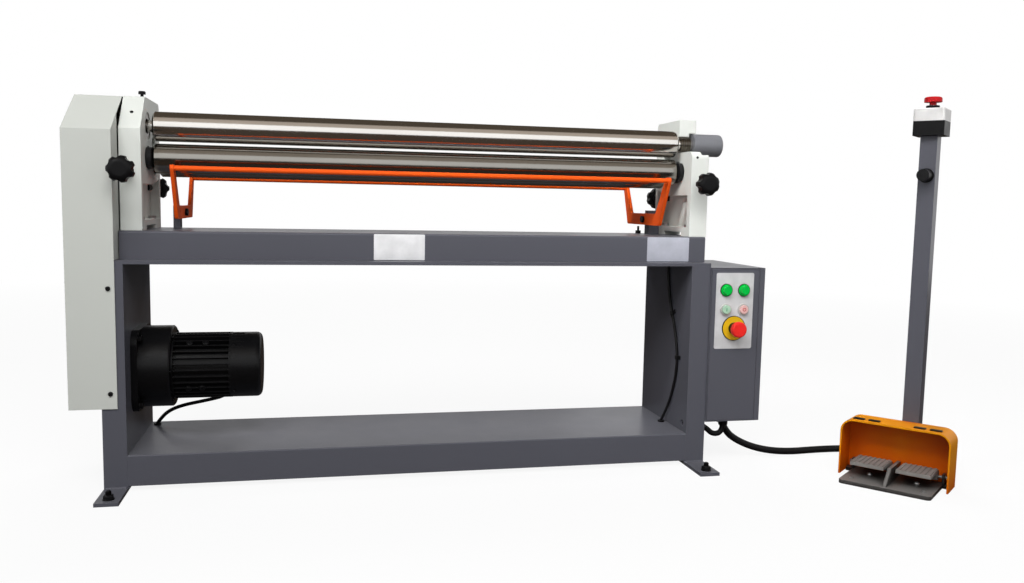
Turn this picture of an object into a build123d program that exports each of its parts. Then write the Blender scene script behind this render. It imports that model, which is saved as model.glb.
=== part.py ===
"""Electric slip roll: three long rolls between two cast housings on a sheet-metal stand.

Millimetres, +Z up, +X along the rolls from the drive end to the release end, -Y is the
operator's side. The origin is the middle of the four anchor holes, on the floor.
"""
import os
from math import cos, degrees, atan2, pi, radians, sin, tan

from build123d import *

os.makedirs("parts", exist_ok=True)

# Fits
running_gap = 0.05      # radial clearance of a turning fit
slide_gap = 0.3         # side clearance of a guided sliding piece
sheet_gap = 1.0         # air between sheet-metal pieces

# Stand
leg_span = 1330.0       # between the inner faces of the two legs
leg_width = 50.0
leg_depth = 314.0
leg_wall = 4.0
leg_top = 509.0
foot_length = 510.0
foot_thick = 8.0
anchor_in = 25.0        # anchor hole from the end of its foot
anchor_hole_r = 7.0
shelf_top = 82.0
shelf_apron = 70.0
shelf_sheet = 3.0
top_plate_thick = 8.0
bed_end_in = 35.5       # drive end of the bed, in from the leg's outer face
bed_front_in = 40.0     # front of the bed, behind the front of the legs
bed_back_in = 11.0
bed_height = 64.0
bed_wall = 8.0
bed_fold_r = 5.0

half_span = leg_span / 2
half_depth = leg_depth / 2
leg_centre = half_span + leg_width / 2
leg_outer = half_span + leg_width
anchor_pitch = foot_length - 2 * anchor_in
bed_left = -leg_outer + bed_end_in
bed_right = leg_outer
bed_front = -half_depth + bed_front_in
bed_back = half_depth - bed_back_in
bed_depth = bed_back - bed_front
bed_mid_y = (bed_back + bed_front) / 2
bed_bottom = leg_top + top_plate_thick
bed_top = bed_bottom + bed_height

# Housings
housing_width = 46.0
housing_height = 302.0
housing_front_in = 19.0  # housing front behind the bed front
housing_back_in = 4.0
housing_slant_run = 63.0
housing_slant_drop = 76.0
housing_corner_r = 12.0
release_overhang = 9.5  # release housing beyond the end of the bed
recess_depth = 20.0
recess_front_wall = 20.0
recess_back_wall = 16.0
recess_lift = 23.0      # recess floor above the bed
recess_roof_drop = 53.0  # recess roof below the rear roll axis
recess_roof_flat = 128.0
recess_roof_rise = 14.0
relief_front_in = 52.0
relief_back_in = 72.0
relief_height = 10.0
base_bolt_r = 5.0
base_bolt_head = 7.0
base_bolt_across_flats = 16.0
base_bolt_front_in = 36.0
base_bolt_back_in = 56.0
jaw_ahead = 4.0         # front face of the upper jaw, ahead of the top roll axis
jaw_round_r = 20.0
jaw_gap = 0.5
drill_r = 2.5           # small drilled holes in the housings
drill_depth = 12.0
drill_in = 15.0
drill_drop = 37.0
oil_cup_in = 11.0       # oil cup from the inner face of the drive housing
oil_cup_neck_r = 3.5
oil_cup_neck = 8.0
oil_cup_r = 8.0
oil_cup_cap = 7.0
oil_cup_edge = 1.5

left_out = bed_left
left_in = left_out + housing_width
right_out = bed_right + release_overhang
right_in = right_out - housing_width
left_mid = (left_in + left_out) / 2
right_mid = (right_in + right_out) / 2
housing_front = bed_front + housing_front_in
housing_back = bed_back - housing_back_in
housing_top = bed_top + housing_height
housing_crease = housing_top - housing_slant_drop
housing_slant_y = housing_front + housing_slant_run
recess_front = housing_front + recess_front_wall
recess_back = housing_back - recess_back_wall
recess_floor = bed_top + recess_lift
relief_front = housing_front + relief_front_in
relief_back = housing_back - relief_back_in
left_bolt_x = left_in - recess_depth / 2
right_bolt_x = right_in + recess_depth / 2
base_bolt_front = housing_front + base_bolt_front_in
base_bolt_back = housing_back - base_bolt_back_in

# Rolls
roll_r = 34.0
roll_gap = 5.0          # opening between the top roll and the lower roll
drive_end_gap = 13.5    # housing face to roll end at the drive end
release_end_gap = 11.5
roll_edge = 4.0
journal_r = 16.0
top_roll_in = 91.0      # top roll axis behind the housing front
top_roll_drop = 64.0    # top roll axis below the housing top
rear_roll_back = 82.0   # rear roll axis behind the lower roll axis
rear_roll_drop = 7.0
lower_roll_up = 4.0
lower_roll_down = 3.0
rear_roll_up = 40.0
rear_roll_down = 8.0
rear_slot_lean = 15.0   # degrees from upright, leaning to the front
block_r = 24.0
block_face_gap = 0.5    # shoulder of a bearing block to the housing face
block_roll_gap = 1.0    # shoulder of a bearing block to the roll end
lower_shoulder = 92.0   # overall width of the lower block's shoulder
rear_shoulder_r = 26.0

roll_left = left_in + drive_end_gap
roll_right = right_in - release_end_gap
roll_length = roll_right - roll_left
top_roll_y = housing_front + top_roll_in
top_roll_z = housing_top - top_roll_drop
lower_roll_y = top_roll_y
lower_roll_z = top_roll_z - 2 * roll_r - roll_gap
rear_roll_y = lower_roll_y + rear_roll_back
rear_roll_z = lower_roll_z - rear_roll_drop
top_axis = (top_roll_y, top_roll_z)
lower_axis = (lower_roll_y, lower_roll_z)
rear_axis = (rear_roll_y, rear_roll_z)
recess_roof = rear_roll_z - recess_roof_drop
jaw_front = top_roll_y - jaw_ahead

# Top roll ends: a loose six-sided tang at the drive end, a ringed bush at the release end
tang_half_width = 15.0
tang_half_length = 12.0
socket_half_width = 17.0
socket_end_gap = 3.0    # tang to the floor of its socket
neck_r = 14.0
hub_r = 32.0
hub_inset = 1.5         # hub face back from the housing face
bush_r = 20.7
bush_end_gap = 0.5
bush_groove = 1.2
bush_grooves = 3
sleeve_r = 29.0
sleeve_pocket = 18.5    # counterbore in the release housing that takes the sleeve
sleeve_side_gap = 1.0
sleeve_gap = 7.0        # sleeve to the floor of its counterbore
sleeve_length = 81.0
sleeve_cap = 12.0
sleeve_edge = 6.0
journal_end_gap = 4.0

slot_half = bush_r + jaw_gap
pocket_half = sleeve_r + sleeve_side_gap
pocket_floor = right_out - sleeve_pocket
sleeve_left = pocket_floor + sleeve_gap
sleeve_right = sleeve_left + sleeve_length
top_journal_end = sleeve_right - sleeve_cap - journal_end_gap
bush_left = right_in + bush_end_gap
bush_length = pocket_floor - bush_end_gap - bush_left

# Roll gears, cut with long teeth so that they stay in mesh as the lower roll moves
gear_teeth = 14
gear_tip_out = 2.9      # tooth tip beyond half the axle distance
gear_root_in = 8.2
gear_tip_width = 3.2
gear_root_width = 10.2
gear_face = 20.0
gear_tooth_angle = -90.0
tooth_root_in = 1.0     # tooth foot below the root circle
gear_gap = 1.5          # gear to housing face
gear_shaft_over = 5.0
drive_shaft_r = 20.0

gear_pitch_r = roll_r + roll_gap / 2
gear_tip_r = gear_pitch_r + gear_tip_out
gear_root_r = gear_pitch_r - gear_root_in
gear_tooth_pitch = 360 / gear_teeth
gear_right = left_out - gear_gap
gear_left = gear_right - gear_face

# Chain drive
chain_pitch = 19.05
chain_links = 72
sprocket_teeth = 13
chain_out = 27.0        # chain line from the outer face of the roll gears
chain_roller_r = 5.95
chain_roller_length = 11.7
chain_plate = 1.8
chain_plate_height = 14.0
chain_plate_end = 5.9   # plate beyond its pin
chain_plate_gap = 0.35
sprocket_thick = 10.6
sprocket_tip = 4.0      # tooth tip beyond the pitch circle
sprocket_root_gap = 0.4
sprocket_root_width = 8.0
sprocket_tip_width = 2.6
sprocket_boss_r = 28.0
sprocket_boss = 6.0
shaft_over = 20.0       # shaft ends beyond the chain line
output_shaft_r = 15.0

sprocket_r = chain_pitch / (2 * sin(pi / sprocket_teeth))
tooth_pitch = 360 / sprocket_teeth
half_wrap = sprocket_teeth / 2
chain_span = (chain_links - sprocket_teeth) / 2
axle_distance = chain_span * chain_pitch
chain_x = gear_left - chain_out
shaft_end_x = chain_x - shaft_over
motor_y = top_roll_y
motor_z = top_roll_z - axle_distance
motor_axis = (motor_y, motor_z)

# Drive cover
cover_width = 100.0
cover_end_gap = 2.5     # cover to the drive housing
cover_over = 3.0        # cover beyond the legs, front and back
cover_below = 68.0      # below the motor axis
cover_top_drop = 1.0    # cover top below the housing top
cover_slant_drop = 83.0
cover_slant_ahead = 1.0
cover_sheet = 2.0
cover_front_gap = 2.0   # inner strips clear of the housing
cover_rear_gap = 3.0

cover_right = left_out - cover_end_gap
cover_left = cover_right - cover_width
cover_half_depth = half_depth + cover_over
cover_bottom = motor_z - cover_below
cover_top = housing_top - cover_top_drop
cover_crease = cover_top - cover_slant_drop
cover_slant_y = housing_slant_y - cover_slant_ahead
cover_strip_back = housing_front - cover_front_gap
cover_strip_rear = housing_back + cover_rear_gap

# Motor and gearbox
gearbox_r = 96.0
gearbox_length = 82.0
gearbox_edge = 3.0
gearbox_flange = 190.0
gearbox_flange_thick = 14.0
gearbox_flange_r = 34.0
gearbox_spigot_r = 38.0
gearbox_spigot_length = 8.0
shaft_seat_depth = 34.0
motor_core_r = 66.0
motor_fin_r = 78.5
motor_fin_thick = 2.6
motor_fin_count = 32
motor_length = 132.0
motor_ring = 4.0
terminal_box = (76.0, 64.0, 60.0)
terminal_box_in = 2.0   # from the cowl end of the motor
terminal_box_back = 85.0  # behind the motor axis
terminal_box_drop = 21.0
motor_gland_in = 7.0
motor_gland_back = 99.0
cowl_r = 78.0
cowl_length = 69.0
cowl_sheet = 2.0
cowl_edge = 13.0
cowl_inner_r = 26.0     # two rings of air slots
cowl_inner_slots = 8
cowl_outer_r = 46.0
cowl_outer_slots = 12
cowl_slot_length = 12.0
cowl_slot_width = 4.0
fan_r = 66.0
fan_hub_r = 18.0
fan_blades = 7
fan_blade_thick = 2.0
fan_length = 30.0
fan_from_motor = 14.0
fan_shaft_r = 9.0
fan_shaft_in = 20.0

gearbox_right = -half_span + gearbox_length
motor_right = gearbox_right + motor_length
cowl_right = motor_right + cowl_length
terminal_box_x = motor_right - terminal_box_in - terminal_box[0] / 2
terminal_box_y = motor_y + terminal_box_back
terminal_box_z = motor_z - terminal_box_drop
terminal_box_bottom = terminal_box_z - terminal_box[2] / 2
motor_cable_gland = (motor_right - motor_gland_in, motor_y + motor_gland_back)

# Adjusting knobs; the two at the drive end stand further out, clear of the cover
knob_lobes = 7
knob_r = 29.0
knob_scallop_r = 10.0
knob_scallop = 5.0      # depth of one scallop
knob_rim = 12.0
knob_dome = 15.0
knob_edge = 1.5
knob_neck_r = 15.0
knob_neck = 12.0
knob_stud_r = 8.0
knob_stud_in = 52.0     # stud length inside the housing
knob_bore_in = 54.0
drive_knob_reach = 96.0  # housing face to the middle of the rim
release_knob_reach = 47.0
front_knob_drop = 32.0  # below the lower roll axis
rear_knob_drop = 60.0   # below the rear roll axis

front_knob_z = lower_roll_z - front_knob_drop
rear_knob_z = rear_roll_z - rear_knob_drop

# Trip frame round the rolls
trip_plate = 8.0
trip_left_in = 63.0     # plates from the inner faces of the housings
trip_right_in = 54.0
trip_pivot_back = 3.0   # pivot behind the rear roll axis
trip_pivot_lift = 40.0  # pivot above the bed
trip_front_ahead = 76.0  # front bar ahead of the lower roll axis
trip_front_drop = 24.0
trip_rear_back = 162.0  # rear bar behind the rear roll axis
trip_rear_drop = 32.0
trip_bar_r = 6.0
trip_arm_width = 26.0
trip_arm_rise = 8.0
trip_foot_ahead = 110.0  # foot from the pivot
trip_foot_behind = 128.0
trip_foot_under = 15.0
trip_foot_over = 16.0
trip_corner_r = 8.0
trip_bolt_r = 5.0
trip_bolt_head_r = 9.0
trip_bolt_head = 6.0
trip_side_gap = 1.5
left_post_width = 16.0
right_post_width = 30.0
post_depth = 30.0
left_post_over = 16.0   # post tops above the pivot
right_post_over = 24.0
switch_size = (10.0, 16.0, 8.0)
switch_behind = 50.0    # trip switch behind the pivot
switch_stem_r = 3.0
switch_stem_gap = 5.0   # stem to the foot of the trip frame

trip_left_x = left_in + trip_left_in
trip_right_x = right_in - trip_right_in
trip_pivot_y = rear_roll_y + trip_pivot_back
trip_pivot_z = bed_top + trip_pivot_lift
pivot_axis = (trip_pivot_y, trip_pivot_z)
trip_front_y = lower_roll_y - trip_front_ahead
trip_front_z = lower_roll_z - trip_front_drop
trip_rear_y = rear_roll_y + trip_rear_back
trip_rear_z = rear_roll_z - trip_rear_drop
trip_foot_front = trip_pivot_y - trip_foot_ahead
trip_foot_back = trip_pivot_y + trip_foot_behind
trip_foot_bottom = trip_pivot_z - trip_foot_under
trip_foot_top = trip_pivot_z + trip_foot_over
trip_half = trip_plate / 2
arm_half = trip_arm_width / 2
left_post_right = trip_left_x - trip_half - trip_side_gap
left_post_left = left_post_right - left_post_width
right_post_left = trip_right_x + trip_half + trip_side_gap
right_post_right = right_post_left + right_post_width
left_head_x = trip_left_x + trip_half + sheet_gap
right_head_x = trip_right_x - trip_half - sheet_gap

# Electrical cabinet
cabinet_width = 147.0
cabinet_height = 394.0
cabinet_ahead = 5.0     # cabinet front ahead of the leg
cabinet_back_in = 11.0
cabinet_drop = 3.0      # cabinet top below the leg top
cabinet_sheet = 2.0
door_gap = 1.0
door_rim = 14.0         # fixed strip at the hinge side
door_fold = 12.0
panel_size = (102.0, 193.0)
panel_shift = -2.5      # panel from the middle of the door
panel_drop = 109.0      # panel centre below the cabinet top
panel_thick = 1.5
panel_corner_r = 4.5
control_half_pitch = 24.0
light_over = 53.0       # heights from the panel centre
button_over = 4.0
panel_stop_under = 44.0
barrel_r = 12.5         # body of a control behind the panel
barrel_depth = 24.0
light_rim_r = 15.0
light_rim = 3.0
light_lens_r = 12.5
light_dome = 9.0
light_taper = 15.0
button_r = 11.0
button_proud = 4.0
button_stem = 20.0
button_edge = 1.2
bezel_r = 14.5
bezel_height = 4.5
stop_ring_r = 30.0
stop_ring_thick = 3.0
stop_collar_r = 14.0
stop_collar = 14.0
mushroom_r = 20.0
mushroom_thick = 12.0
mushroom_edge = 5.0
mushroom_stem_r = 8.0
mushroom_lift = 8.0     # head to collar, pressed through on a stop
back_plate_thick = 2.0
back_plate_standoff = 8.0
back_plate_side = 10.0  # back plate inside the cabinet walls
back_plate_end = 24.0
standoff_r = 4.0
standoff_in = 20.0
contactor_size = (42.0, 78.0)
contactor_depth = 80.0
contactor_pitch = 50.0
contactor_in = 58.0     # contactor centres below the top of the back plate
transformer_size = (84.0, 80.0)
transformer_depth = 74.0
transformer_in = 60.0   # transformer centre above the foot of the back plate
terminal_size = (100.0, 34.0)
terminal_depth = 40.0
pedal_gland_out = 71.0  # hose glands from the leg and the cabinet front
pedal_gland_in = 63.0
leg_gland_out = 64.0
leg_hose_in = 27.0      # leg hose behind the front of the leg
leg_hose_drop = 8.0     # leg hose below the cabinet

cabinet_left = leg_outer
cabinet_right = cabinet_left + cabinet_width
cabinet_mid_x = (cabinet_left + cabinet_right) / 2
cabinet_front = -half_depth - cabinet_ahead
cabinet_back = half_depth - cabinet_back_in
cabinet_depth = cabinet_back - cabinet_front
cabinet_mid_y = (cabinet_front + cabinet_back) / 2
cabinet_top = leg_top - cabinet_drop
cabinet_bottom = cabinet_top - cabinet_height
door_left = cabinet_left + cabinet_sheet + door_gap
door_right = cabinet_right - door_rim - door_gap
door_width = door_right - door_left
door_bottom = cabinet_bottom + cabinet_sheet + door_gap
door_top = cabinet_top - cabinet_sheet - door_gap
door_height = door_top - door_bottom
door_mid = ((door_left + door_right) / 2, (door_bottom + door_top) / 2)
control_x = door_mid[0] + panel_shift
panel_z = cabinet_top - panel_drop
light_z = panel_z + light_over
button_z = panel_z + button_over
panel_stop_z = panel_z - panel_stop_under
lights = [(control_x - control_half_pitch, light_z), (control_x + control_half_pitch, light_z)]
start_point = (control_x - control_half_pitch, button_z)
stop_point = (control_x + control_half_pitch, button_z)
estop_point = (control_x, panel_stop_z)
panel_face = cabinet_front - panel_thick
stop_face = panel_face - stop_ring_thick
stem_bore_r = mushroom_stem_r + slide_gap
plate_width = cabinet_width - 2 * back_plate_side
plate_height = cabinet_height - 2 * back_plate_end
plate_mid = (cabinet_mid_x, (cabinet_bottom + cabinet_top) / 2)
plate_back = cabinet_back - cabinet_sheet - back_plate_standoff
plate_face = plate_back - back_plate_thick
contactor_z = cabinet_top - back_plate_end - contactor_in
transformer_z = cabinet_bottom + back_plate_end + transformer_in
leg_hose_y = -half_depth + leg_hose_in
leg_hose_z = cabinet_bottom - leg_hose_drop
pedal_hose_gland = (cabinet_left + pedal_gland_out, cabinet_front + pedal_gland_in)
leg_hose_gland = (cabinet_left + leg_gland_out, leg_hose_y)

# Foot control on the floor beside the machine
pedal_x = 1100.0
pedal_y = -383.0
pedal_angle = -50.0
base_half_width = 104.0
base_front = -72.0
base_behind = 4.0       # base plate behind the stop post
base_thick = 9.0
base_corner_r = 10.0
hood_width = 252.0
hood_height = 143.0
hood_depth = 74.0
hood_wall = 4.0
hood_corner_r = 30.0
hood_ground = 3.0
hood_slot = (24.0, 12.0)
hood_slot_in = 38.0     # outer slots from the sides of the hood
hood_slot_pitch = 36.0
hood_slot_y = 20.0
treadle_gap = 10.0      # treadle to the rib between the treadles, and to its outer ear
treadle_front = -22.0
treadle_back_in = 4.0   # flat of a treadle ahead of its pin
treadle_bottom = 36.0
treadle_thick = 8.0
treadle_ribs = 7
treadle_rib = (5.0, 1.5)
treadle_lug = 12.0
pin_r = 4.0
pin_in = 18.0           # pin ahead of the hood's back
pin_z = 26.0
lug_half = 8.0          # lugs and ears round the pin
divider_half = 4.0
divider_top = 44.0
ear_thick = 6.0
ear_hood_gap = 8.0      # pin end to the hood's side
stop_post_x = 18.0
stop_post_size = 38.0
stop_post_wall = 3.0
stop_post_top = 836.0
stop_box = 70.0
stop_box_edge = 6.0
stop_box_wall = 3.0
stop_box_base_height = 34.0
stop_box_cover_height = 30.0
post_peg_drop = 94.0    # peg below the top of the post
post_peg_r = 14.0
post_peg = 34.0
post_washer_r = 17.0
post_washer = 4.0
pedal_gland_x = -60.0
pedal_gland_z = 28.0

treadle_inner = divider_half + treadle_gap
pin_half = hood_width / 2 - hood_wall - ear_hood_gap
ear_centre = pin_half - 1.5 * ear_thick
treadle_outer = ear_centre - ear_thick / 2 - treadle_gap
treadle_width = treadle_outer - treadle_inner
treadle_top = treadle_bottom + treadle_thick
pin_y = hood_depth - pin_in
treadle_back = pin_y - treadle_back_in
stop_post_y = hood_depth + stop_post_size / 2
stop_post_point = (stop_post_x, stop_post_y)
base_back = hood_depth + stop_post_size + base_behind
stop_box_base_top = stop_post_top + stop_box_base_height
stop_box_top = stop_box_base_top + stop_box_cover_height
post_collar_top = stop_box_top + mushroom_lift
post_peg_z = stop_post_top - post_peg_drop

# Cables and hoses
hose_r = 9.0
leg_hose_r = 7.0
motor_cable_r = 4.5
leg_cable_r = 3.5
gland_r = 15.0
small_gland_r = 10.0
gland_length = 16.0
gland_sink = 6.0        # hose length held inside its gland
grommet_r = 9.0
grommet_bore_r = 7.0
grommet_thick = 4.0
motor_grommet_in = 17.0  # grommet of the motor cable from the leg and the stand's back
motor_grommet_back = 33.0
leg_grommet_in = 15.0   # grommet of the leg cable from the leg
leg_grommet_y = -26.0
leg_cable_y = -12.0     # leg cable where it leaves the stand top
clip_width = 10.0
clip_wall = 2.0
clip_tail = 9.0
bend_share = 0.45       # of the shorter run, taken up by each bend

motor_grommet = (-half_span + motor_grommet_in, half_depth - motor_grommet_back)
leg_grommet = (half_span - leg_grommet_in, leg_grommet_y)
leg_cable_x = half_span - leg_cable_r
hose_floor = hose_r + sheet_gap


def side_plane(x):
    """Plane facing +X at x, drawn in Y and Z."""
    return Plane(origin=(x, 0, 0), x_dir=(0, 1, 0), z_dir=(1, 0, 0))


def front_plane(y):
    """Plane facing the operator at y, drawn in X and Z."""
    return Plane(origin=(0, y, 0), x_dir=(1, 0, 0), z_dir=(0, -1, 0))


def rear_plane(y):
    """Plane facing away from the operator at y, drawn in -X and Z."""
    return Plane(origin=(0, y, 0), x_dir=(-1, 0, 0), z_dir=(0, 1, 0))


pedal_plane = Plane(
    origin=(pedal_x, pedal_y, 0),
    x_dir=(cos(radians(pedal_angle)), sin(radians(pedal_angle)), 0),
    z_dir=(0, 0, 1),
)


def pedal_side_plane(x):
    """Plane across the foot control at its own x, drawn in depth and height."""
    origin = pedal_plane.from_local_coords(Vector(x, 0, 0))
    return Plane(origin=origin, x_dir=pedal_plane.y_dir, z_dir=pedal_plane.x_dir)


def pedal_front_plane(y):
    """Plane facing the front of the foot control at its own depth y."""
    origin = pedal_plane.from_local_coords(Vector(0, y, 0))
    return Plane(origin=origin, x_dir=pedal_plane.x_dir, z_dir=-pedal_plane.y_dir)


def save(piece, name):
    """Label one finished piece and write its STEP file."""
    piece.label = name
    export_step(piece, f"parts/{name}.step")


def make_leg(name, side, web_bores):
    """Channel leg welded to its foot plate; the web faces the other leg."""
    with BuildPart() as leg:
        with BuildSketch(Plane.XY.offset(foot_thick)):
            with Locations((side * leg_centre, 0)):
                Rectangle(leg_width, leg_depth)
            with Locations((side * (leg_centre + leg_wall), 0)):
                Rectangle(leg_width, leg_depth - 2 * leg_wall, mode=Mode.SUBTRACT)
        extrude(amount=leg_top - foot_thick)
        with BuildSketch(Plane.XY):
            with Locations((side * leg_centre, 0)):
                Rectangle(leg_width, foot_length)
            with Locations((side * leg_centre, -anchor_pitch / 2), (side * leg_centre, anchor_pitch / 2)):
                Circle(anchor_hole_r, mode=Mode.SUBTRACT)
        extrude(amount=foot_thick)
        for bore_y, bore_z, bore_r in web_bores:
            with BuildSketch(side_plane(side * half_span)):
                with Locations((bore_y, bore_z)):
                    Circle(bore_r)
            extrude(amount=side * leg_wall, mode=Mode.SUBTRACT)
    save(leg.part, name)


make_leg("left_leg", -1, [(motor_y, motor_z, gearbox_spigot_r + sheet_gap)])
make_leg("right_leg", 1, [(leg_hose_y, leg_hose_z, leg_hose_r + sheet_gap)])

with BuildPart() as bottom_shelf:
    with BuildSketch(side_plane(-half_span)):
        with Locations((0, shelf_top - shelf_apron / 2)):
            Rectangle(leg_depth, shelf_apron)
        with Locations((0, shelf_top - shelf_apron / 2 - shelf_sheet)):
            Rectangle(leg_depth - 2 * shelf_sheet, shelf_apron, mode=Mode.SUBTRACT)
    extrude(amount=leg_span)
    fillet(bottom_shelf.edges().filter_by(Axis.X).group_by(Axis.Z)[-1], shelf_sheet)
    with BuildSketch(Plane.XY.offset(shelf_top)):
        with Locations(motor_grommet, leg_grommet):
            Circle(grommet_bore_r)
    extrude(amount=-shelf_sheet, mode=Mode.SUBTRACT)
save(bottom_shelf.part, "bottom_shelf")

with BuildPart() as top_plate:
    with BuildSketch(Plane.XY.offset(leg_top)):
        Rectangle(2 * leg_outer, leg_depth)
    extrude(amount=top_plate_thick)
    with BuildSketch(Plane.XY.offset(leg_top)):
        with Locations((leg_cable_x, leg_cable_y)):
            Circle(leg_cable_r + slide_gap)
    extrude(amount=top_plate_thick, mode=Mode.SUBTRACT)
save(top_plate.part, "top_plate")

left_bolts = [(left_bolt_x, base_bolt_front), (left_bolt_x, base_bolt_back)]
right_bolts = [(right_bolt_x, base_bolt_front), (right_bolt_x, base_bolt_back)]
with BuildPart() as bed_beam:
    with BuildSketch(side_plane(bed_left)):
        with Locations((bed_mid_y, bed_bottom + bed_height / 2)):
            Rectangle(bed_depth, bed_height)
        with Locations((bed_mid_y, bed_bottom + bed_height / 2 - bed_wall)):
            Rectangle(bed_depth - 2 * bed_wall, bed_height, mode=Mode.SUBTRACT)
    extrude(amount=bed_right - bed_left)
    fillet(bed_beam.edges().filter_by(Axis.X).group_by(Axis.Z)[-1], bed_fold_r)
    with BuildSketch(Plane.XY.offset(bed_top)):
        with Locations(*left_bolts, *right_bolts):
            Circle(base_bolt_r + slide_gap)
    extrude(amount=-bed_wall, mode=Mode.SUBTRACT)
save(bed_beam.part, "bed_beam")

lower_slot_mid = (lower_roll_y, lower_roll_z + (lower_roll_up - lower_roll_down) / 2)
lower_slot_length = lower_roll_up + lower_roll_down + 2 * slide_gap
rear_slot_shift = (rear_roll_up - rear_roll_down) / 2
rear_slot_mid = (
    rear_roll_y - rear_slot_shift * sin(radians(rear_slot_lean)),
    rear_roll_z + rear_slot_shift * cos(radians(rear_slot_lean)),
)
rear_slot_length = rear_roll_up + rear_roll_down + 2 * slide_gap
slot_width = 2 * (block_r + slide_gap)


def roll_slots(outer_x):
    """Sketch the upright slot of the lower roll and the leaning slot of the rear roll."""
    with BuildSketch(side_plane(outer_x)) as slots:
        with Locations(lower_slot_mid):
            SlotCenterToCenter(lower_slot_length, slot_width, rotation=90)
        with Locations(rear_slot_mid):
            SlotCenterToCenter(rear_slot_length, slot_width, rotation=90 + rear_slot_lean)
    return slots.sketch


def knob_bores(mid_x):
    """Bores of the two adjusting screws of one housing, to be cut away."""
    with BuildPart() as bores:
        with BuildSketch(front_plane(housing_front + knob_bore_in)):
            with Locations((mid_x, front_knob_z)):
                Circle(knob_stud_r + running_gap)
        extrude(amount=knob_bore_in)
        with BuildSketch(front_plane(housing_back)):
            with Locations((mid_x, rear_knob_z)):
                Circle(knob_stud_r + running_gap)
        extrude(amount=knob_bore_in)
    return bores.part


def drilled_hole(mouth):
    """Small drilled hole going in from the plane of its mouth, to be cut away."""
    with BuildPart() as hole:
        with BuildSketch(mouth):
            Circle(drill_r)
        extrude(amount=-drill_depth)
    return hole.part


def side_recess(inner_x):
    """Sketch the recess on the inner face of a housing, below its roll boss."""
    with BuildSketch(side_plane(inner_x)) as recess:
        with BuildLine():
            Polyline(
                (recess_front, recess_floor),
                (recess_front, recess_roof),
                (recess_front + recess_roof_flat, recess_roof),
                (recess_back, recess_roof + recess_roof_rise),
                (recess_back, recess_floor),
                close=True,
            )
        make_face()
    return recess.sketch


def base_relief(outer_x):
    """Sketch the relief that leaves a housing standing on two feet."""
    with BuildSketch(side_plane(outer_x)) as relief:
        with Locations(((relief_front + relief_back) / 2, bed_top + relief_height / 2)):
            Rectangle(relief_back - relief_front, relief_height)
    return relief.sketch


def bolt_holes(points):
    """Sketch the clearance holes of the base bolts."""
    with BuildSketch(Plane.XY.offset(bed_top)) as holes:
        with Locations(*points):
            Circle(base_bolt_r + slide_gap)
    return holes.sketch


slant_mouth = Plane(
    origin=(left_mid, (housing_front + housing_slant_y) / 2, (housing_crease + housing_top) / 2),
    x_dir=(1, 0, 0),
    z_dir=(0, -housing_slant_drop, housing_slant_run),
)
jaw_mouth = Plane(
    origin=(right_in + drill_in, housing_front, top_roll_z - drill_drop),
    x_dir=(1, 0, 0),
    z_dir=(0, -1, 0),
)
with BuildPart() as left_housing:
    with BuildSketch(side_plane(left_out)) as left_outline:
        with BuildLine():
            Polyline(
                (housing_front, bed_top),
                (housing_front, housing_crease),
                (housing_slant_y, housing_top),
                (housing_back, housing_top),
                (housing_back, bed_top),
                close=True,
            )
        make_face()
        fillet(left_outline.vertices().group_by(Axis.Y)[-1].sort_by(Axis.X)[-1], housing_corner_r)
    extrude(amount=housing_width)
    extrude(side_recess(left_in), amount=-recess_depth, mode=Mode.SUBTRACT)
    extrude(base_relief(left_out), amount=housing_width, mode=Mode.SUBTRACT)
    extrude(bolt_holes(left_bolts), amount=recess_floor - bed_top, mode=Mode.SUBTRACT)
    extrude(roll_slots(left_out), amount=housing_width, mode=Mode.SUBTRACT)
    with BuildSketch(side_plane(left_out)):
        with Locations(top_axis):
            Circle(hub_r + running_gap)
    extrude(amount=housing_width, mode=Mode.SUBTRACT)
    add(knob_bores(left_mid), mode=Mode.SUBTRACT)
    add(drilled_hole(slant_mouth), mode=Mode.SUBTRACT)
save(left_housing.part, "left_housing")

with BuildPart() as right_housing:
    with BuildSketch(side_plane(right_in)) as right_outline:
        with BuildLine():
            Polyline(
                (housing_front, bed_top),
                (housing_front, top_roll_z - slot_half),
                (jaw_front, top_roll_z - slot_half),
                (jaw_front, housing_top),
                (housing_back, housing_top),
                (housing_back, bed_top),
                close=True,
            )
        make_face()
        jaw_lip = (housing_front, top_roll_z - slot_half)
        fillet(right_outline.vertices().sort_by_distance(jaw_lip)[0], jaw_round_r)
        fillet(right_outline.vertices().group_by(Axis.Y)[-1].sort_by(Axis.X)[-1], housing_corner_r)
        with Locations(top_axis):
            Circle(slot_half, mode=Mode.SUBTRACT)
        with Locations(((housing_front + top_roll_y) / 2, top_roll_z)):
            Rectangle(top_roll_y - housing_front, 2 * slot_half, mode=Mode.SUBTRACT)
    extrude(amount=housing_width)
    extrude(side_recess(right_in), amount=recess_depth, mode=Mode.SUBTRACT)
    extrude(base_relief(right_in), amount=housing_width, mode=Mode.SUBTRACT)
    extrude(bolt_holes(right_bolts), amount=recess_floor - bed_top, mode=Mode.SUBTRACT)
    extrude(roll_slots(right_in), amount=housing_width, mode=Mode.SUBTRACT)
    with BuildSketch(side_plane(pocket_floor)):
        with Locations(top_axis):
            Circle(pocket_half)
        with Locations(((housing_front + top_roll_y) / 2, top_roll_z)):
            Rectangle(top_roll_y - housing_front, 2 * pocket_half)
    extrude(amount=sleeve_pocket, mode=Mode.SUBTRACT)
    add(knob_bores(right_mid), mode=Mode.SUBTRACT)
    add(drilled_hole(jaw_mouth), mode=Mode.SUBTRACT)
save(right_housing.part, "right_housing")

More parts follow.
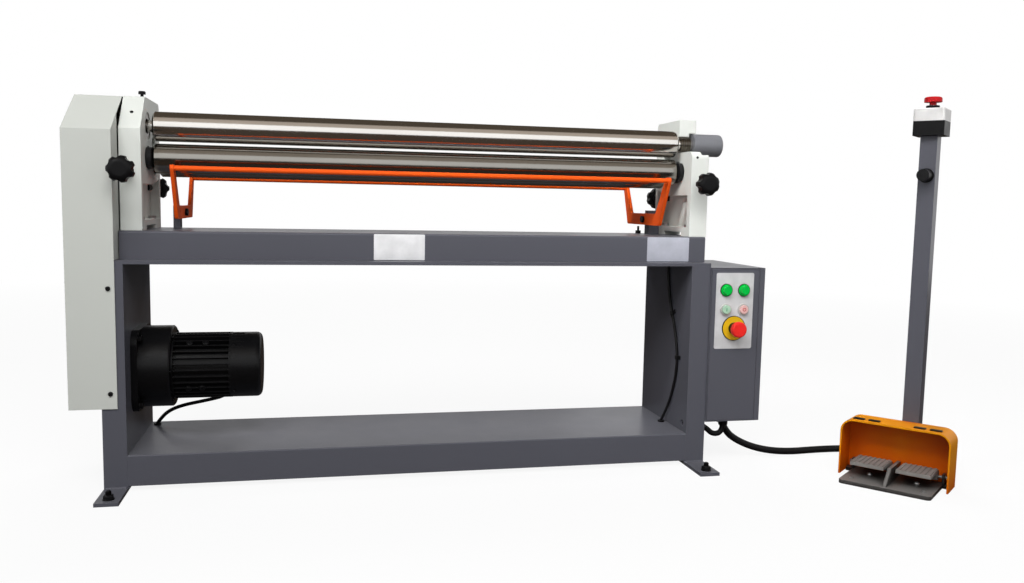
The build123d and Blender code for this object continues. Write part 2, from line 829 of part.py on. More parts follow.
with BuildPart() as housing_bolts:
    with BuildSketch(Plane.XY.offset(recess_floor)):
        with Locations(*left_bolts, *right_bolts):
            RegularPolygon(base_bolt_across_flats / 2, 6, major_radius=False, rotation=30)
    extrude(amount=base_bolt_head)
    with BuildSketch(Plane.XY.offset(recess_floor)):
        with Locations(*left_bolts, *right_bolts):
            Circle(base_bolt_r)
    extrude(amount=bed_top - bed_wall - recess_floor)
save(housing_bolts.part, "housing_bolts")

oil_cup_point = (left_in - oil_cup_in, top_roll_y)
with BuildPart() as oil_cup:
    with BuildSketch(Plane.XY.offset(housing_top)):
        with Locations(oil_cup_point):
            Circle(oil_cup_neck_r)
    extrude(amount=oil_cup_neck)
    with BuildSketch(Plane.XY.offset(housing_top + oil_cup_neck)):
        with Locations(oil_cup_point):
            Circle(oil_cup_r)
    extrude(amount=oil_cup_cap)
    chamfer(oil_cup.faces().sort_by(Axis.Z)[-1].edges(), oil_cup_edge)
save(oil_cup.part, "oil_cup")

with BuildPart() as drive_cover:
    with BuildSketch(side_plane(cover_left)):
        with BuildLine():
            Polyline(
                (-cover_half_depth, cover_bottom),
                (-cover_half_depth, cover_crease),
                (cover_slant_y, cover_top),
                (cover_half_depth, cover_top),
                (cover_half_depth, cover_bottom),
                close=True,
            )
        make_face()
    extrude(amount=cover_right - cover_left)
    offset(amount=-cover_sheet, openings=drive_cover.faces().sort_by(Axis.X)[-1])
    strip_slant = (cover_top - cover_crease) / (cover_slant_y + cover_half_depth)
    strip_top = cover_crease + strip_slant * (cover_strip_back + cover_half_depth)
    with BuildSketch(side_plane(cover_right)):
        with BuildLine():
            Polyline(
                (-cover_half_depth, bed_bottom + sheet_gap),
                (-cover_half_depth, cover_crease),
                (cover_strip_back, strip_top),
                (cover_strip_back, bed_bottom + sheet_gap),
                close=True,
            )
        make_face()
        with BuildLine():
            Polyline(
                (cover_strip_rear, bed_bottom + sheet_gap),
                (cover_strip_rear, cover_top),
                (cover_half_depth, cover_top),
                (cover_half_depth, bed_bottom + sheet_gap),
                close=True,
            )
        make_face()
    extrude(amount=-cover_sheet)
    with BuildSketch(Plane.XY.offset(cover_bottom)):
        with Locations((-leg_centre, 0)):
            Rectangle(leg_width + 2 * sheet_gap, leg_depth + sheet_gap)
    extrude(amount=cover_sheet, mode=Mode.SUBTRACT)
save(drive_cover.part, "drive_cover")

with BuildPart() as gearbox:
    with BuildSketch(side_plane(-half_span)):
        with Locations(motor_axis):
            RectangleRounded(gearbox_flange, gearbox_flange, gearbox_flange_r)
    extrude(amount=gearbox_flange_thick)
    with BuildSketch(side_plane(-half_span + gearbox_flange_thick)):
        with Locations(motor_axis):
            Circle(gearbox_r)
    extrude(amount=gearbox_length - gearbox_flange_thick)
    chamfer(gearbox.faces().sort_by(Axis.X)[-1].edges(), gearbox_edge)
    with BuildSketch(side_plane(-half_span)):
        with Locations(motor_axis):
            Circle(gearbox_spigot_r)
    extrude(amount=-gearbox_spigot_length)
    with BuildSketch(side_plane(-half_span - gearbox_spigot_length)):
        with Locations(motor_axis):
            Circle(output_shaft_r + running_gap)
    extrude(amount=shaft_seat_depth, mode=Mode.SUBTRACT)
save(gearbox.part, "gearbox")

with BuildPart() as motor_body:
    with BuildSketch(side_plane(gearbox_right)):
        with Locations(motor_axis):
            Circle(motor_core_r)
            with PolarLocations((motor_core_r + motor_fin_r) / 2, motor_fin_count):
                Rectangle(motor_fin_r - motor_core_r + 2 * motor_fin_thick, motor_fin_thick)
            Circle(motor_fin_r, mode=Mode.INTERSECT)
    extrude(amount=motor_length)
    with BuildSketch(side_plane(gearbox_right)):
        with Locations(motor_axis):
            Circle(motor_fin_r)
    extrude(amount=motor_ring)
    with BuildSketch(side_plane(motor_right)):
        with Locations(motor_axis):
            Circle(cowl_r)
    extrude(amount=-motor_ring)
    with Locations((terminal_box_x, terminal_box_y, terminal_box_z)):
        Box(*terminal_box)
    with BuildSketch(side_plane(motor_right)):
        with Locations(motor_axis):
            Circle(fan_shaft_r + running_gap)
    extrude(amount=-fan_shaft_in, mode=Mode.SUBTRACT)
save(motor_body.part, "motor_body")

with BuildPart() as fan_cowl:
    with BuildSketch(side_plane(motor_right)):
        with Locations(motor_axis):
            Circle(cowl_r)
    extrude(amount=cowl_length)
    fillet(fan_cowl.faces().sort_by(Axis.X)[-1].edges(), cowl_edge)
    offset(amount=-cowl_sheet, openings=fan_cowl.faces().sort_by(Axis.X)[0])
    with BuildSketch(side_plane(cowl_right)):
        with Locations(motor_axis):
            with PolarLocations(cowl_inner_r, cowl_inner_slots):
                Rectangle(cowl_slot_length, cowl_slot_width)
            with PolarLocations(cowl_outer_r, cowl_outer_slots):
                Rectangle(cowl_slot_length, cowl_slot_width)
    extrude(amount=-cowl_sheet, mode=Mode.SUBTRACT)
save(fan_cowl.part, "fan_cowl")

with BuildPart() as motor_fan:
    with BuildSketch(side_plane(motor_right - fan_shaft_in + sheet_gap)):
        with Locations(motor_axis):
            Circle(fan_shaft_r)
    extrude(amount=fan_shaft_in + fan_from_motor + fan_length)
    with BuildSketch(side_plane(motor_right + fan_from_motor)):
        with Locations(motor_axis):
            Circle(fan_hub_r)
            with PolarLocations((fan_hub_r + fan_r) / 2, fan_blades):
                Rectangle(fan_r - fan_hub_r + fan_blade_thick, fan_blade_thick)
    extrude(amount=fan_length)
save(motor_fan.part, "motor_fan")


def gear_outline(x, centre, first_tooth):
    """Sketch a long-tooth spur gear with one tooth at the given angle."""
    height = gear_tip_r - gear_root_r
    with BuildSketch(side_plane(x)) as outline:
        with Locations(centre):
            Circle(gear_root_r)
            with PolarLocations(gear_root_r, gear_teeth, start_angle=first_tooth):
                Polygon(
                    (-tooth_root_in, -gear_root_width / 2),
                    (height, -gear_tip_width / 2),
                    (height, gear_tip_width / 2),
                    (-tooth_root_in, gear_root_width / 2),
                    align=None,
                )
    return outline.sketch


def sprocket_outline(x, centre, first_tooth):
    """Sketch a roller-chain sprocket with one tooth at the given angle."""
    root_r = sprocket_r - chain_roller_r - sprocket_root_gap
    height = sprocket_r + sprocket_tip - root_r
    with BuildSketch(side_plane(x)) as outline:
        with Locations(centre):
            Circle(root_r)
            with PolarLocations(root_r, sprocket_teeth, start_angle=first_tooth):
                Polygon(
                    (-tooth_root_in, -sprocket_root_width / 2),
                    (height, -sprocket_tip_width / 2),
                    (height, sprocket_tip_width / 2),
                    (-tooth_root_in, sprocket_root_width / 2),
                    align=None,
                )
    return outline.sketch


socket_floor = left_mid - tang_half_length - socket_end_gap
hub_face = left_in - hub_inset
with BuildPart() as top_drive_gear:
    with BuildSketch(side_plane(hub_face)):
        with Locations(top_axis):
            Circle(hub_r)
    extrude(amount=gear_right - hub_face)
    extrude(gear_outline(gear_left, top_axis, gear_tooth_angle), amount=gear_face)
    with BuildSketch(side_plane(gear_left)):
        with Locations(top_axis):
            Circle(drive_shaft_r)
    extrude(amount=shaft_end_x - gear_left)
    with BuildSketch(side_plane(hub_face)):
        with Locations(top_axis):
            RegularPolygon(socket_half_width, 6, major_radius=False)
    extrude(amount=socket_floor - hub_face, mode=Mode.SUBTRACT)
save(top_drive_gear.part, "top_drive_gear")

sprocket_left = chain_x - sprocket_thick / 2
with BuildPart() as driven_sprocket:
    extrude(sprocket_outline(sprocket_left, top_axis, tooth_pitch / 2), amount=sprocket_thick)
    with BuildSketch(side_plane(chain_x + sprocket_thick / 2)):
        with Locations(top_axis):
            Circle(sprocket_boss_r)
    extrude(amount=sprocket_boss)
    with BuildSketch(side_plane(sprocket_left)):
        with Locations(top_axis):
            Circle(drive_shaft_r + running_gap)
    extrude(amount=sprocket_thick + sprocket_boss, mode=Mode.SUBTRACT)
save(driven_sprocket.part, "driven_sprocket")

output_shaft_in = -half_span - gearbox_spigot_length + shaft_seat_depth - sheet_gap
drive_tooth_angle = (half_wrap + 1 / 2) * tooth_pitch
with BuildPart() as drive_sprocket:
    extrude(sprocket_outline(sprocket_left, motor_axis, drive_tooth_angle), amount=sprocket_thick)
    with BuildSketch(side_plane(chain_x + sprocket_thick / 2)):
        with Locations(motor_axis):
            Circle(sprocket_boss_r)
    extrude(amount=sprocket_boss)
    with BuildSketch(side_plane(shaft_end_x)):
        with Locations(motor_axis):
            Circle(output_shaft_r)
    extrude(amount=output_shaft_in - shaft_end_x)
save(drive_sprocket.part, "drive_sprocket")


def chain_point(step):
    """Place of one chain roller, in Y and Z, counted in pitches round the loop."""
    step = step % chain_links
    if step <= half_wrap:
        angle = radians(step * tooth_pitch)
        return Vector(top_roll_y + sprocket_r * cos(angle), top_roll_z + sprocket_r * sin(angle))
    if step <= half_wrap + chain_span:
        return Vector(top_roll_y - sprocket_r, top_roll_z - (step - half_wrap) * chain_pitch)
    if step <= 2 * half_wrap + chain_span:
        angle = pi + radians((step - half_wrap - chain_span) * tooth_pitch)
        return Vector(motor_y + sprocket_r * cos(angle), motor_z + sprocket_r * sin(angle))
    return Vector(motor_y + sprocket_r, motor_z + (step - 2 * half_wrap - chain_span) * chain_pitch)


def link_plates(inner_x):
    """Sketch and thicken the two side plates of one link, centred on its own origin."""
    half = chain_pitch / 2
    end = half + chain_plate_end
    with BuildPart() as plates:
        for plate_x in (inner_x, -inner_x - chain_plate):
            with BuildSketch(side_plane(plate_x)):
                with BuildLine():
                    Polyline(
                        (-end, 0),
                        (-half, -chain_plate_height / 2),
                        (half, -chain_plate_height / 2),
                        (end, 0),
                        (half, chain_plate_height / 2),
                        (-half, chain_plate_height / 2),
                        close=True,
                    )
                make_face()
            extrude(amount=chain_plate)
    return plates.part


with BuildPart() as roller_link:
    add(link_plates(chain_roller_length / 2))
    with BuildSketch(side_plane(-chain_roller_length / 2)):
        with Locations((-chain_pitch / 2, 0), (chain_pitch / 2, 0)):
            RegularPolygon(chain_roller_r, 6)
    extrude(amount=chain_roller_length)

with BuildPart() as pin_link:
    add(link_plates(chain_roller_length / 2 + chain_plate + chain_plate_gap))

links = []
for step in range(chain_links):
    start = chain_point(step)
    finish = chain_point(step + 1)
    middle = (start + finish) / 2
    turn = degrees(atan2(finish.Y - start.Y, finish.X - start.X))
    link = roller_link.part if step % 2 == 0 else pin_link.part
    links.append(link.moved(Location((chain_x, middle.X, middle.Y), (turn, 0, 0))))
save(Compound(links), "drive_chain")

groove_pitch = bush_length / (bush_grooves + 1)
with BuildPart() as top_roll_bush:
    with BuildSketch(side_plane(bush_left)):
        with Locations(top_axis):
            Circle(bush_r)
            Circle(journal_r + running_gap, mode=Mode.SUBTRACT)
    extrude(amount=bush_length)
    for groove in range(bush_grooves):
        with BuildSketch(side_plane(bush_left + (groove + 1) * groove_pitch - bush_groove)):
            with Locations(top_axis):
                Circle(bush_r)
                Circle(bush_r - bush_groove, mode=Mode.SUBTRACT)
        extrude(amount=2 * bush_groove, mode=Mode.SUBTRACT)
save(top_roll_bush.part, "top_roll_bush")


def roll_barrel(axis):
    """Round bar of one roll with broken edges."""
    with BuildPart() as barrel:
        with BuildSketch(side_plane(roll_left)):
            with Locations(axis):
                Circle(roll_r)
        extrude(amount=roll_length)
        chamfer(barrel.edges().filter_by(GeomType.CIRCLE), roll_edge)
    return barrel.part


def round_bar(axis, radius, start_x, end_x):
    """Plain round bar along X between two stations."""
    with BuildPart() as bar:
        with BuildSketch(side_plane(start_x)):
            with Locations(axis):
                Circle(radius)
        extrude(amount=end_x - start_x)
    return bar.part


with BuildPart() as top_roll:
    add(roll_barrel(top_axis))
    add(round_bar(top_axis, neck_r, left_mid, roll_left))
    add(round_bar(top_axis, journal_r, roll_right, top_journal_end))
    with BuildSketch(side_plane(left_mid - tang_half_length)):
        with Locations(top_axis):
            RegularPolygon(tang_half_width, 6, major_radius=False)
    extrude(amount=2 * tang_half_length)
save(top_roll.part, "top_roll")

with BuildPart() as release_sleeve:
    add(round_bar(top_axis, sleeve_r, sleeve_left, sleeve_right))
    fillet(release_sleeve.faces().sort_by(Axis.X)[-1].edges(), sleeve_edge)
    with BuildSketch(side_plane(sleeve_left)):
        with Locations(top_axis):
            Circle(journal_r + running_gap)
    extrude(amount=sleeve_length - sleeve_cap, mode=Mode.SUBTRACT)
save(release_sleeve.part, "release_sleeve")

gear_end = gear_left - gear_shaft_over
with BuildPart() as lower_roll:
    add(roll_barrel(lower_axis))
    add(round_bar(lower_axis, journal_r, gear_end, roll_left))
    add(round_bar(lower_axis, journal_r, roll_right, right_out))
save(lower_roll.part, "lower_roll")

with BuildPart() as lower_roll_gear:
    extrude(gear_outline(gear_left, lower_axis, gear_tooth_pitch / 2 - gear_tooth_angle), amount=gear_face)
    with BuildSketch(side_plane(gear_left)):
        with Locations(lower_axis):
            Circle(journal_r + running_gap)
    extrude(amount=gear_face, mode=Mode.SUBTRACT)
save(lower_roll_gear.part, "lower_roll_gear")

with BuildPart() as rear_roll:
    add(roll_barrel(rear_axis))
    add(round_bar(rear_axis, journal_r, left_out, roll_left))
    add(round_bar(rear_axis, journal_r, roll_right, right_out))
save(rear_roll.part, "rear_roll")


def make_blocks(name, axis, shoulder_width, shoulder_height):
    """Pair of bearing blocks of one roll: round in the housing slots, with a shoulder beside the roll."""
    left_start = left_in + block_face_gap
    right_start = roll_right + block_roll_gap
    with BuildPart() as blocks:
        add(round_bar(axis, block_r, left_out, left_start))
        add(round_bar(axis, block_r, right_in - block_face_gap, right_out))
        with BuildSketch(side_plane(left_start)):
            with Locations(axis):
                SlotOverall(shoulder_width, shoulder_height)
        extrude(amount=roll_left - block_roll_gap - left_start)
        with BuildSketch(side_plane(right_start)):
            with Locations(axis):
                SlotOverall(shoulder_width, shoulder_height)
        extrude(amount=right_in - block_face_gap - right_start)
        with BuildSketch(side_plane(left_out)):
            with Locations(axis):
                Circle(journal_r + running_gap)
        extrude(amount=right_out - left_out, mode=Mode.SUBTRACT)
    save(blocks.part, name)


make_blocks("lower_roll_blocks", lower_axis, lower_shoulder, 2 * block_r)
make_blocks("rear_roll_blocks", rear_axis, 2 * rear_shoulder_r + slide_gap, 2 * rear_shoulder_r)


def make_knob(name, face, centre, reach):
    """Domed and scalloped hand knob on its adjusting stud; the plane lies on the housing, facing out."""
    rim_seat = face.offset(reach - knob_rim / 2)
    with BuildPart() as knob:
        with BuildSketch(rim_seat):
            with Locations(centre):
                Circle(knob_r)
        extrude(amount=knob_rim + knob_dome)
        outward = Axis(face.origin, face.z_dir)
        fillet(knob.faces().sort_by(outward)[-1].edges(), knob_dome)
        chamfer(knob.faces().sort_by(outward)[0].edges(), knob_edge)
        with BuildSketch(rim_seat):
            with Locations(centre):
                with PolarLocations(knob_r + knob_scallop_r - knob_scallop, knob_lobes):
                    Circle(knob_scallop_r)
        extrude(amount=knob_rim + knob_dome, mode=Mode.SUBTRACT)
        with BuildSketch(rim_seat):
            with Locations(centre):
                Circle(knob_neck_r)
        extrude(amount=-knob_neck)
        with BuildSketch(face.offset(-knob_stud_in)):
            with Locations(centre):
                Circle(knob_stud_r)
        extrude(amount=knob_stud_in + reach - knob_rim / 2 - knob_neck)
    save(knob.part, name)


knob_sides = (("left", left_mid, drive_knob_reach), ("right", right_mid, release_knob_reach))
for side, knob_x, knob_reach in knob_sides:
    make_knob(f"front_{side}_knob", front_plane(housing_front), (knob_x, front_knob_z), knob_reach)
    make_knob(f"rear_{side}_knob", rear_plane(housing_back), (-knob_x, rear_knob_z), knob_reach)

with BuildPart() as trip_frame:
    for plate_x in (trip_left_x, trip_right_x):
        with BuildSketch(side_plane(plate_x - trip_half)) as trip_outline:
            with BuildLine():
                Polyline(
                    (trip_front_y - arm_half, trip_front_z + trip_arm_rise),
                    (trip_foot_front, trip_foot_bottom),
                    (trip_foot_back, trip_foot_bottom),
                    (trip_rear_y + arm_half, trip_rear_z + trip_arm_rise),
                    (trip_rear_y - arm_half, trip_rear_z + trip_arm_rise),
                    (trip_foot_back - trip_arm_width, trip_foot_top),
                    (trip_foot_front + trip_arm_width, trip_foot_top),
                    (trip_front_y + arm_half, trip_front_z + trip_arm_rise),
                    close=True,
                )
            make_face()
            fillet(trip_outline.vertices(), trip_corner_r)
            with Locations(pivot_axis):
                Circle(trip_bolt_r + running_gap, mode=Mode.SUBTRACT)
        extrude(amount=trip_plate)
    add(round_bar((trip_front_y, trip_front_z), trip_bar_r, trip_left_x, trip_right_x))
    add(round_bar((trip_rear_y, trip_rear_z), trip_bar_r, trip_left_x, trip_right_x))
save(trip_frame.part, "trip_frame")

with BuildPart() as trip_posts:
    with BuildSketch(Plane.XY.offset(bed_top)):
        with Locations((left_post_right - left_post_width / 2, trip_pivot_y)):
            Rectangle(left_post_width, post_depth)
    extrude(amount=trip_pivot_lift + left_post_over)
    with BuildSketch(Plane.XY.offset(bed_top)):
        with Locations((right_post_left + right_post_width / 2, trip_pivot_y)):
            Rectangle(right_post_width, post_depth)
    extrude(amount=trip_pivot_lift + right_post_over)
    with BuildSketch(side_plane(left_post_left)):
        with Locations(pivot_axis):
            Circle(trip_bolt_r + running_gap)
    extrude(amount=right_post_right - left_post_left, mode=Mode.SUBTRACT)
save(trip_posts.part, "trip_posts")

with BuildPart() as trip_pivot_bolts:
    add(round_bar(pivot_axis, trip_bolt_r, left_post_left, left_head_x))
    add(round_bar(pivot_axis, trip_bolt_head_r, left_head_x, left_head_x + trip_bolt_head))
    add(round_bar(pivot_axis, trip_bolt_r, right_head_x, right_post_right))
    add(round_bar(pivot_axis, trip_bolt_head_r, right_head_x - trip_bolt_head, right_head_x))
save(trip_pivot_bolts.part, "trip_pivot_bolts")

switch_stem = trip_foot_bottom - switch_stem_gap - bed_top
with BuildPart() as trip_switch:
    with Locations((trip_right_x, trip_pivot_y + switch_behind, bed_top)):
        Box(*switch_size, align=(Align.CENTER, Align.CENTER, Align.MIN))
        Cylinder(switch_stem_r, switch_stem, align=(Align.CENTER, Align.CENTER, Align.MIN))
save(trip_switch.part, "trip_switch")

with BuildPart() as cabinet_box:
    with BuildSketch(Plane.XY.offset(cabinet_bottom)):
        with Locations((cabinet_mid_x, cabinet_mid_y)):
            Rectangle(cabinet_width, cabinet_depth)
    extrude(amount=cabinet_height)
    offset(amount=-cabinet_sheet, mode=Mode.SUBTRACT, kind=Kind.INTERSECTION)
    with BuildSketch(front_plane(cabinet_front)):
        with Locations(door_mid):
            Rectangle(door_width + 2 * door_gap, cabinet_height - 2 * cabinet_sheet)
    extrude(amount=-cabinet_sheet, mode=Mode.SUBTRACT)
    with BuildSketch(Plane.XY.offset(cabinet_bottom)):
        with Locations(pedal_hose_gland):
            Circle(hose_r)
        with Locations(leg_hose_gland):
            Circle(leg_hose_r)
    extrude(amount=cabinet_sheet, mode=Mode.SUBTRACT)
save(cabinet_box.part, "cabinet_box")

with BuildPart() as cabinet_door:
    with BuildSketch(front_plane(cabinet_front + door_fold)):
        with Locations(door_mid):
            Rectangle(door_width, door_height)
    extrude(amount=door_fold)
    with BuildSketch(front_plane(cabinet_front + door_fold)):
        with Locations(door_mid):
            Rectangle(door_width - 2 * cabinet_sheet, door_height - 2 * cabinet_sheet)
    extrude(amount=door_fold - cabinet_sheet, mode=Mode.SUBTRACT)
    with BuildSketch(front_plane(cabinet_front)):
        with Locations(*lights, start_point, stop_point, estop_point):
            Circle(barrel_r + running_gap)
    extrude(amount=-cabinet_sheet, mode=Mode.SUBTRACT)
save(cabinet_door.part, "cabinet_door")

with BuildPart() as control_panel:
    with BuildSketch(front_plane(cabinet_front)):
        with Locations((control_x, panel_z)):
            RectangleRounded(*panel_size, panel_corner_r)
        with Locations(*lights, start_point, stop_point, estop_point):
            Circle(barrel_r + running_gap, mode=Mode.SUBTRACT)
    extrude(amount=panel_thick)
save(control_panel.part, "control_panel")

with BuildPart() as pilot_lights:
    with BuildSketch(front_plane(cabinet_front + barrel_depth)):
        with Locations(*lights):
            Circle(barrel_r)
    extrude(amount=barrel_depth + panel_thick)
    with BuildSketch(front_plane(panel_face)):
        with Locations(*lights):
            Circle(light_rim_r)
    extrude(amount=light_rim)
    with BuildSketch(front_plane(panel_face - light_rim)):
        with Locations(*lights):
            Circle(light_lens_r)
    extrude(amount=light_dome, taper=light_taper)
save(pilot_lights.part, "pilot_lights")

with BuildPart() as button_bezels:
    with BuildSketch(front_plane(cabinet_front + barrel_depth)):
        with Locations(start_point, stop_point):
            Circle(barrel_r)
            Circle(button_r + slide_gap, mode=Mode.SUBTRACT)
    extrude(amount=barrel_depth + panel_thick)
    with BuildSketch(front_plane(panel_face)):
        with Locations(start_point, stop_point):
            Circle(bezel_r)
            Circle(button_r + slide_gap, mode=Mode.SUBTRACT)
    extrude(amount=bezel_height)
    with BuildSketch(front_plane(cabinet_front + barrel_depth)):
        with Locations(estop_point):
            Circle(barrel_r)
            Circle(stem_bore_r, mode=Mode.SUBTRACT)
    extrude(amount=barrel_depth + panel_thick + stop_ring_thick)
    with BuildSketch(front_plane(stop_face)):
        with Locations(estop_point):
            Circle(stop_collar_r)
            Circle(stem_bore_r, mode=Mode.SUBTRACT)
    extrude(amount=stop_collar)
save(button_bezels.part, "button_bezels")

with BuildPart() as estop_ring:
    with BuildSketch(front_plane(panel_face)):
        with Locations(estop_point):
            Circle(stop_ring_r)
            Circle(barrel_r + running_gap, mode=Mode.SUBTRACT)
    extrude(amount=stop_ring_thick)
save(estop_ring.part, "estop_ring")


def make_button(name, point):
    """Round push button in its bezel."""
    with BuildPart() as button:
        with BuildSketch(front_plane(cabinet_front + button_stem)):
            with Locations(point):
                Circle(button_r)
        extrude(amount=button_stem + panel_thick + bezel_height + button_proud)
        fillet(button.faces().sort_by(Axis.Y)[0].edges(), button_edge)
    save(button.part, name)


make_button("start_button", start_point)
make_button("stop_button", stop_point)


def make_mushroom(name, seat, centre, stem_in):
    """Mushroom-headed stop button: stem in its bore and a rounded head clear of the seat."""
    head_seat = seat.offset(mushroom_lift)
    with BuildPart() as mushroom:
        with BuildSketch(seat.offset(-stem_in)):
            with Locations(centre):
                Circle(mushroom_stem_r)
        extrude(amount=stem_in + mushroom_lift)
        with BuildSketch(head_seat):
            with Locations(centre):
                Circle(mushroom_r)
        extrude(amount=mushroom_thick)
        outer_face = mushroom.faces().sort_by(Axis(seat.origin, seat.z_dir))[-1]
        fillet(outer_face.edges(), mushroom_edge)
    save(mushroom.part, name)


panel_stem = stop_collar + barrel_depth / 2
make_mushroom("panel_estop", front_plane(stop_face - stop_collar), estop_point, panel_stem)

with BuildPart() as control_gear:
    with BuildSketch(front_plane(plate_back)):
        with Locations(plate_mid):
            Rectangle(plate_width, plate_height)
    extrude(amount=back_plate_thick)
    with BuildSketch(front_plane(plate_back)):
        with Locations(plate_mid):
            with GridLocations(plate_width - 2 * standoff_in, plate_height - 2 * standoff_in, 2, 2):
                Circle(standoff_r)
    extrude(amount=-back_plate_standoff)
    with BuildSketch(front_plane(plate_face)):
        with Locations((cabinet_mid_x, contactor_z)):
            with GridLocations(contactor_pitch, contactor_pitch, 2, 1):
                Rectangle(*contactor_size)
    extrude(amount=contactor_depth)
    with BuildSketch(front_plane(plate_face)):
        with Locations((cabinet_mid_x, transformer_z)):
            Rectangle(*transformer_size)
    extrude(amount=transformer_depth)
    with BuildSketch(front_plane(plate_face)):
        with Locations(plate_mid):
            Rectangle(*terminal_size)
    extrude(amount=terminal_depth)
save(control_gear.part, "control_gear")

divider_back = pin_y + lug_half
with BuildPart() as pedal_base:
    with BuildSketch(pedal_plane):
        with Locations((0, (base_front + base_back) / 2)):
            RectangleRounded(2 * base_half_width, base_back - base_front, base_corner_r)
        with Locations((0, hood_depth - hood_wall - pin_in / 2)):
            Rectangle(hood_width - 2 * hood_wall, pin_in + lug_half)
    extrude(amount=base_thick)
    with BuildSketch(pedal_side_plane(-divider_half)):
        with BuildLine():
            Polyline(
                (base_front + base_corner_r, base_thick),
                (treadle_front, divider_top),
                (divider_back, divider_top),
                (divider_back, base_thick),
                close=True,
            )
        make_face()
    extrude(amount=2 * divider_half)
    for ear_x in (-ear_centre, ear_centre):
        with BuildSketch(pedal_side_plane(ear_x - ear_thick / 2)):
            with Locations((pin_y, (base_thick + pin_z + lug_half) / 2)):
                Rectangle(2 * lug_half, pin_z + lug_half - base_thick)
        extrude(amount=ear_thick)
    with BuildSketch(pedal_side_plane(-pin_half)):
        with Locations((pin_y, pin_z)):
            Circle(pin_r + running_gap)
    extrude(amount=2 * pin_half, mode=Mode.SUBTRACT)
save(pedal_base.part, "pedal_base")

with BuildPart() as pedal_pin:
    with BuildSketch(pedal_side_plane(-pin_half)):
        with Locations((pin_y, pin_z)):
            Circle(pin_r)
    extrude(amount=2 * pin_half)
save(pedal_pin.part, "pedal_pin")


def hood_arch(y, wall):
    """Sketch the arch of the hood at its own depth, drawn in by a wall thickness."""
    half = hood_width / 2 - wall
    ground = 0.0 if wall else hood_ground
    top = hood_height - wall
    with BuildSketch(pedal_front_plane(y)) as arch:
        with BuildLine():
            Polyline((-half, ground), (-half, top), (half, top), (half, ground), close=True)
        make_face()
        fillet(arch.vertices().group_by(Axis.Y)[-1], hood_corner_r - wall)
    return arch.sketch


hood_slot_far = hood_width / 2 - hood_slot_in
with BuildPart() as pedal_hood:
    extrude(hood_arch(hood_depth, 0.0), amount=hood_depth)
    extrude(hood_arch(hood_depth - hood_wall, hood_wall), amount=hood_depth, mode=Mode.SUBTRACT)
    with BuildSketch(pedal_plane.offset(hood_height - hood_wall)):
        for slot_x in (hood_slot_far, hood_slot_far - hood_slot_pitch):
            with Locations((-slot_x, hood_slot_y), (slot_x, hood_slot_y)):
                Rectangle(*hood_slot)
    extrude(amount=hood_wall, mode=Mode.SUBTRACT)
    with BuildSketch(pedal_front_plane(hood_depth)):
        with Locations((0, base_thick / 2)):
            Rectangle(hood_width - 2 * hood_wall, base_thick)
        with Locations((pedal_gland_x, pedal_gland_z)):
            Circle(hose_r)
    extrude(amount=hood_wall, mode=Mode.SUBTRACT)
save(pedal_hood.part, "pedal_hood")


def make_treadle(name, side):
    """Ribbed treadle with a lug round the hinge pin at its back edge."""
    start = treadle_inner if side > 0 else -treadle_outer
    with BuildPart() as treadle:
        with BuildSketch(pedal_side_plane(start)):
            with BuildLine():
                Polyline(
                    (treadle_front, treadle_bottom),
                    (treadle_front, treadle_top),
                    (treadle_back, treadle_top),
                    (pin_y + lug_half, pin_z + lug_half),
                    (pin_y + lug_half, pin_z - lug_half),
                    (pin_y - lug_half, pin_z - lug_half),
                    (pin_y - treadle_lug, treadle_bottom),
                    close=True,
                )
            make_face()
            with Locations((pin_y, pin_z)):
                Circle(pin_r + running_gap, mode=Mode.SUBTRACT)
        extrude(amount=treadle_width)
        rib_pitch = treadle_width / treadle_ribs
        with BuildSketch(pedal_plane.offset(treadle_top)):
            with Locations((start + treadle_width / 2, (treadle_front + treadle_back) / 2)):
                with GridLocations(rib_pitch, 1, treadle_ribs, 1):
                    Rectangle(treadle_rib[0], treadle_back - treadle_front)
        extrude(amount=treadle_rib[1])
    save(treadle.part, name)


make_treadle("left_pedal", -1)
make_treadle("right_pedal", 1)

post_bore = stop_post_size - 2 * stop_post_wall
with BuildPart() as stop_post:
    with BuildSketch(pedal_plane.offset(base_thick)):
        with Locations(stop_post_point):
            Rectangle(stop_post_size, stop_post_size)
            Rectangle(post_bore, post_bore, mode=Mode.SUBTRACT)
    extrude(amount=stop_post_top - base_thick)
save(stop_post.part, "stop_post")

box_inside = stop_box - 2 * stop_box_wall
box_inside_r = stop_box_edge - stop_box_wall
with BuildPart() as stop_box_base:
    with BuildSketch(pedal_plane.offset(stop_post_top)):
        with Locations(stop_post_point):
            RectangleRounded(stop_box, stop_box, stop_box_edge)
    extrude(amount=stop_box_base_height)
    with BuildSketch(pedal_plane.offset(stop_post_top + stop_box_wall)):
        with Locations(stop_post_point):
            RectangleRounded(box_inside, box_inside, box_inside_r)
    extrude(amount=stop_box_base_height - stop_box_wall, mode=Mode.SUBTRACT)
save(stop_box_base.part, "stop_box_base")

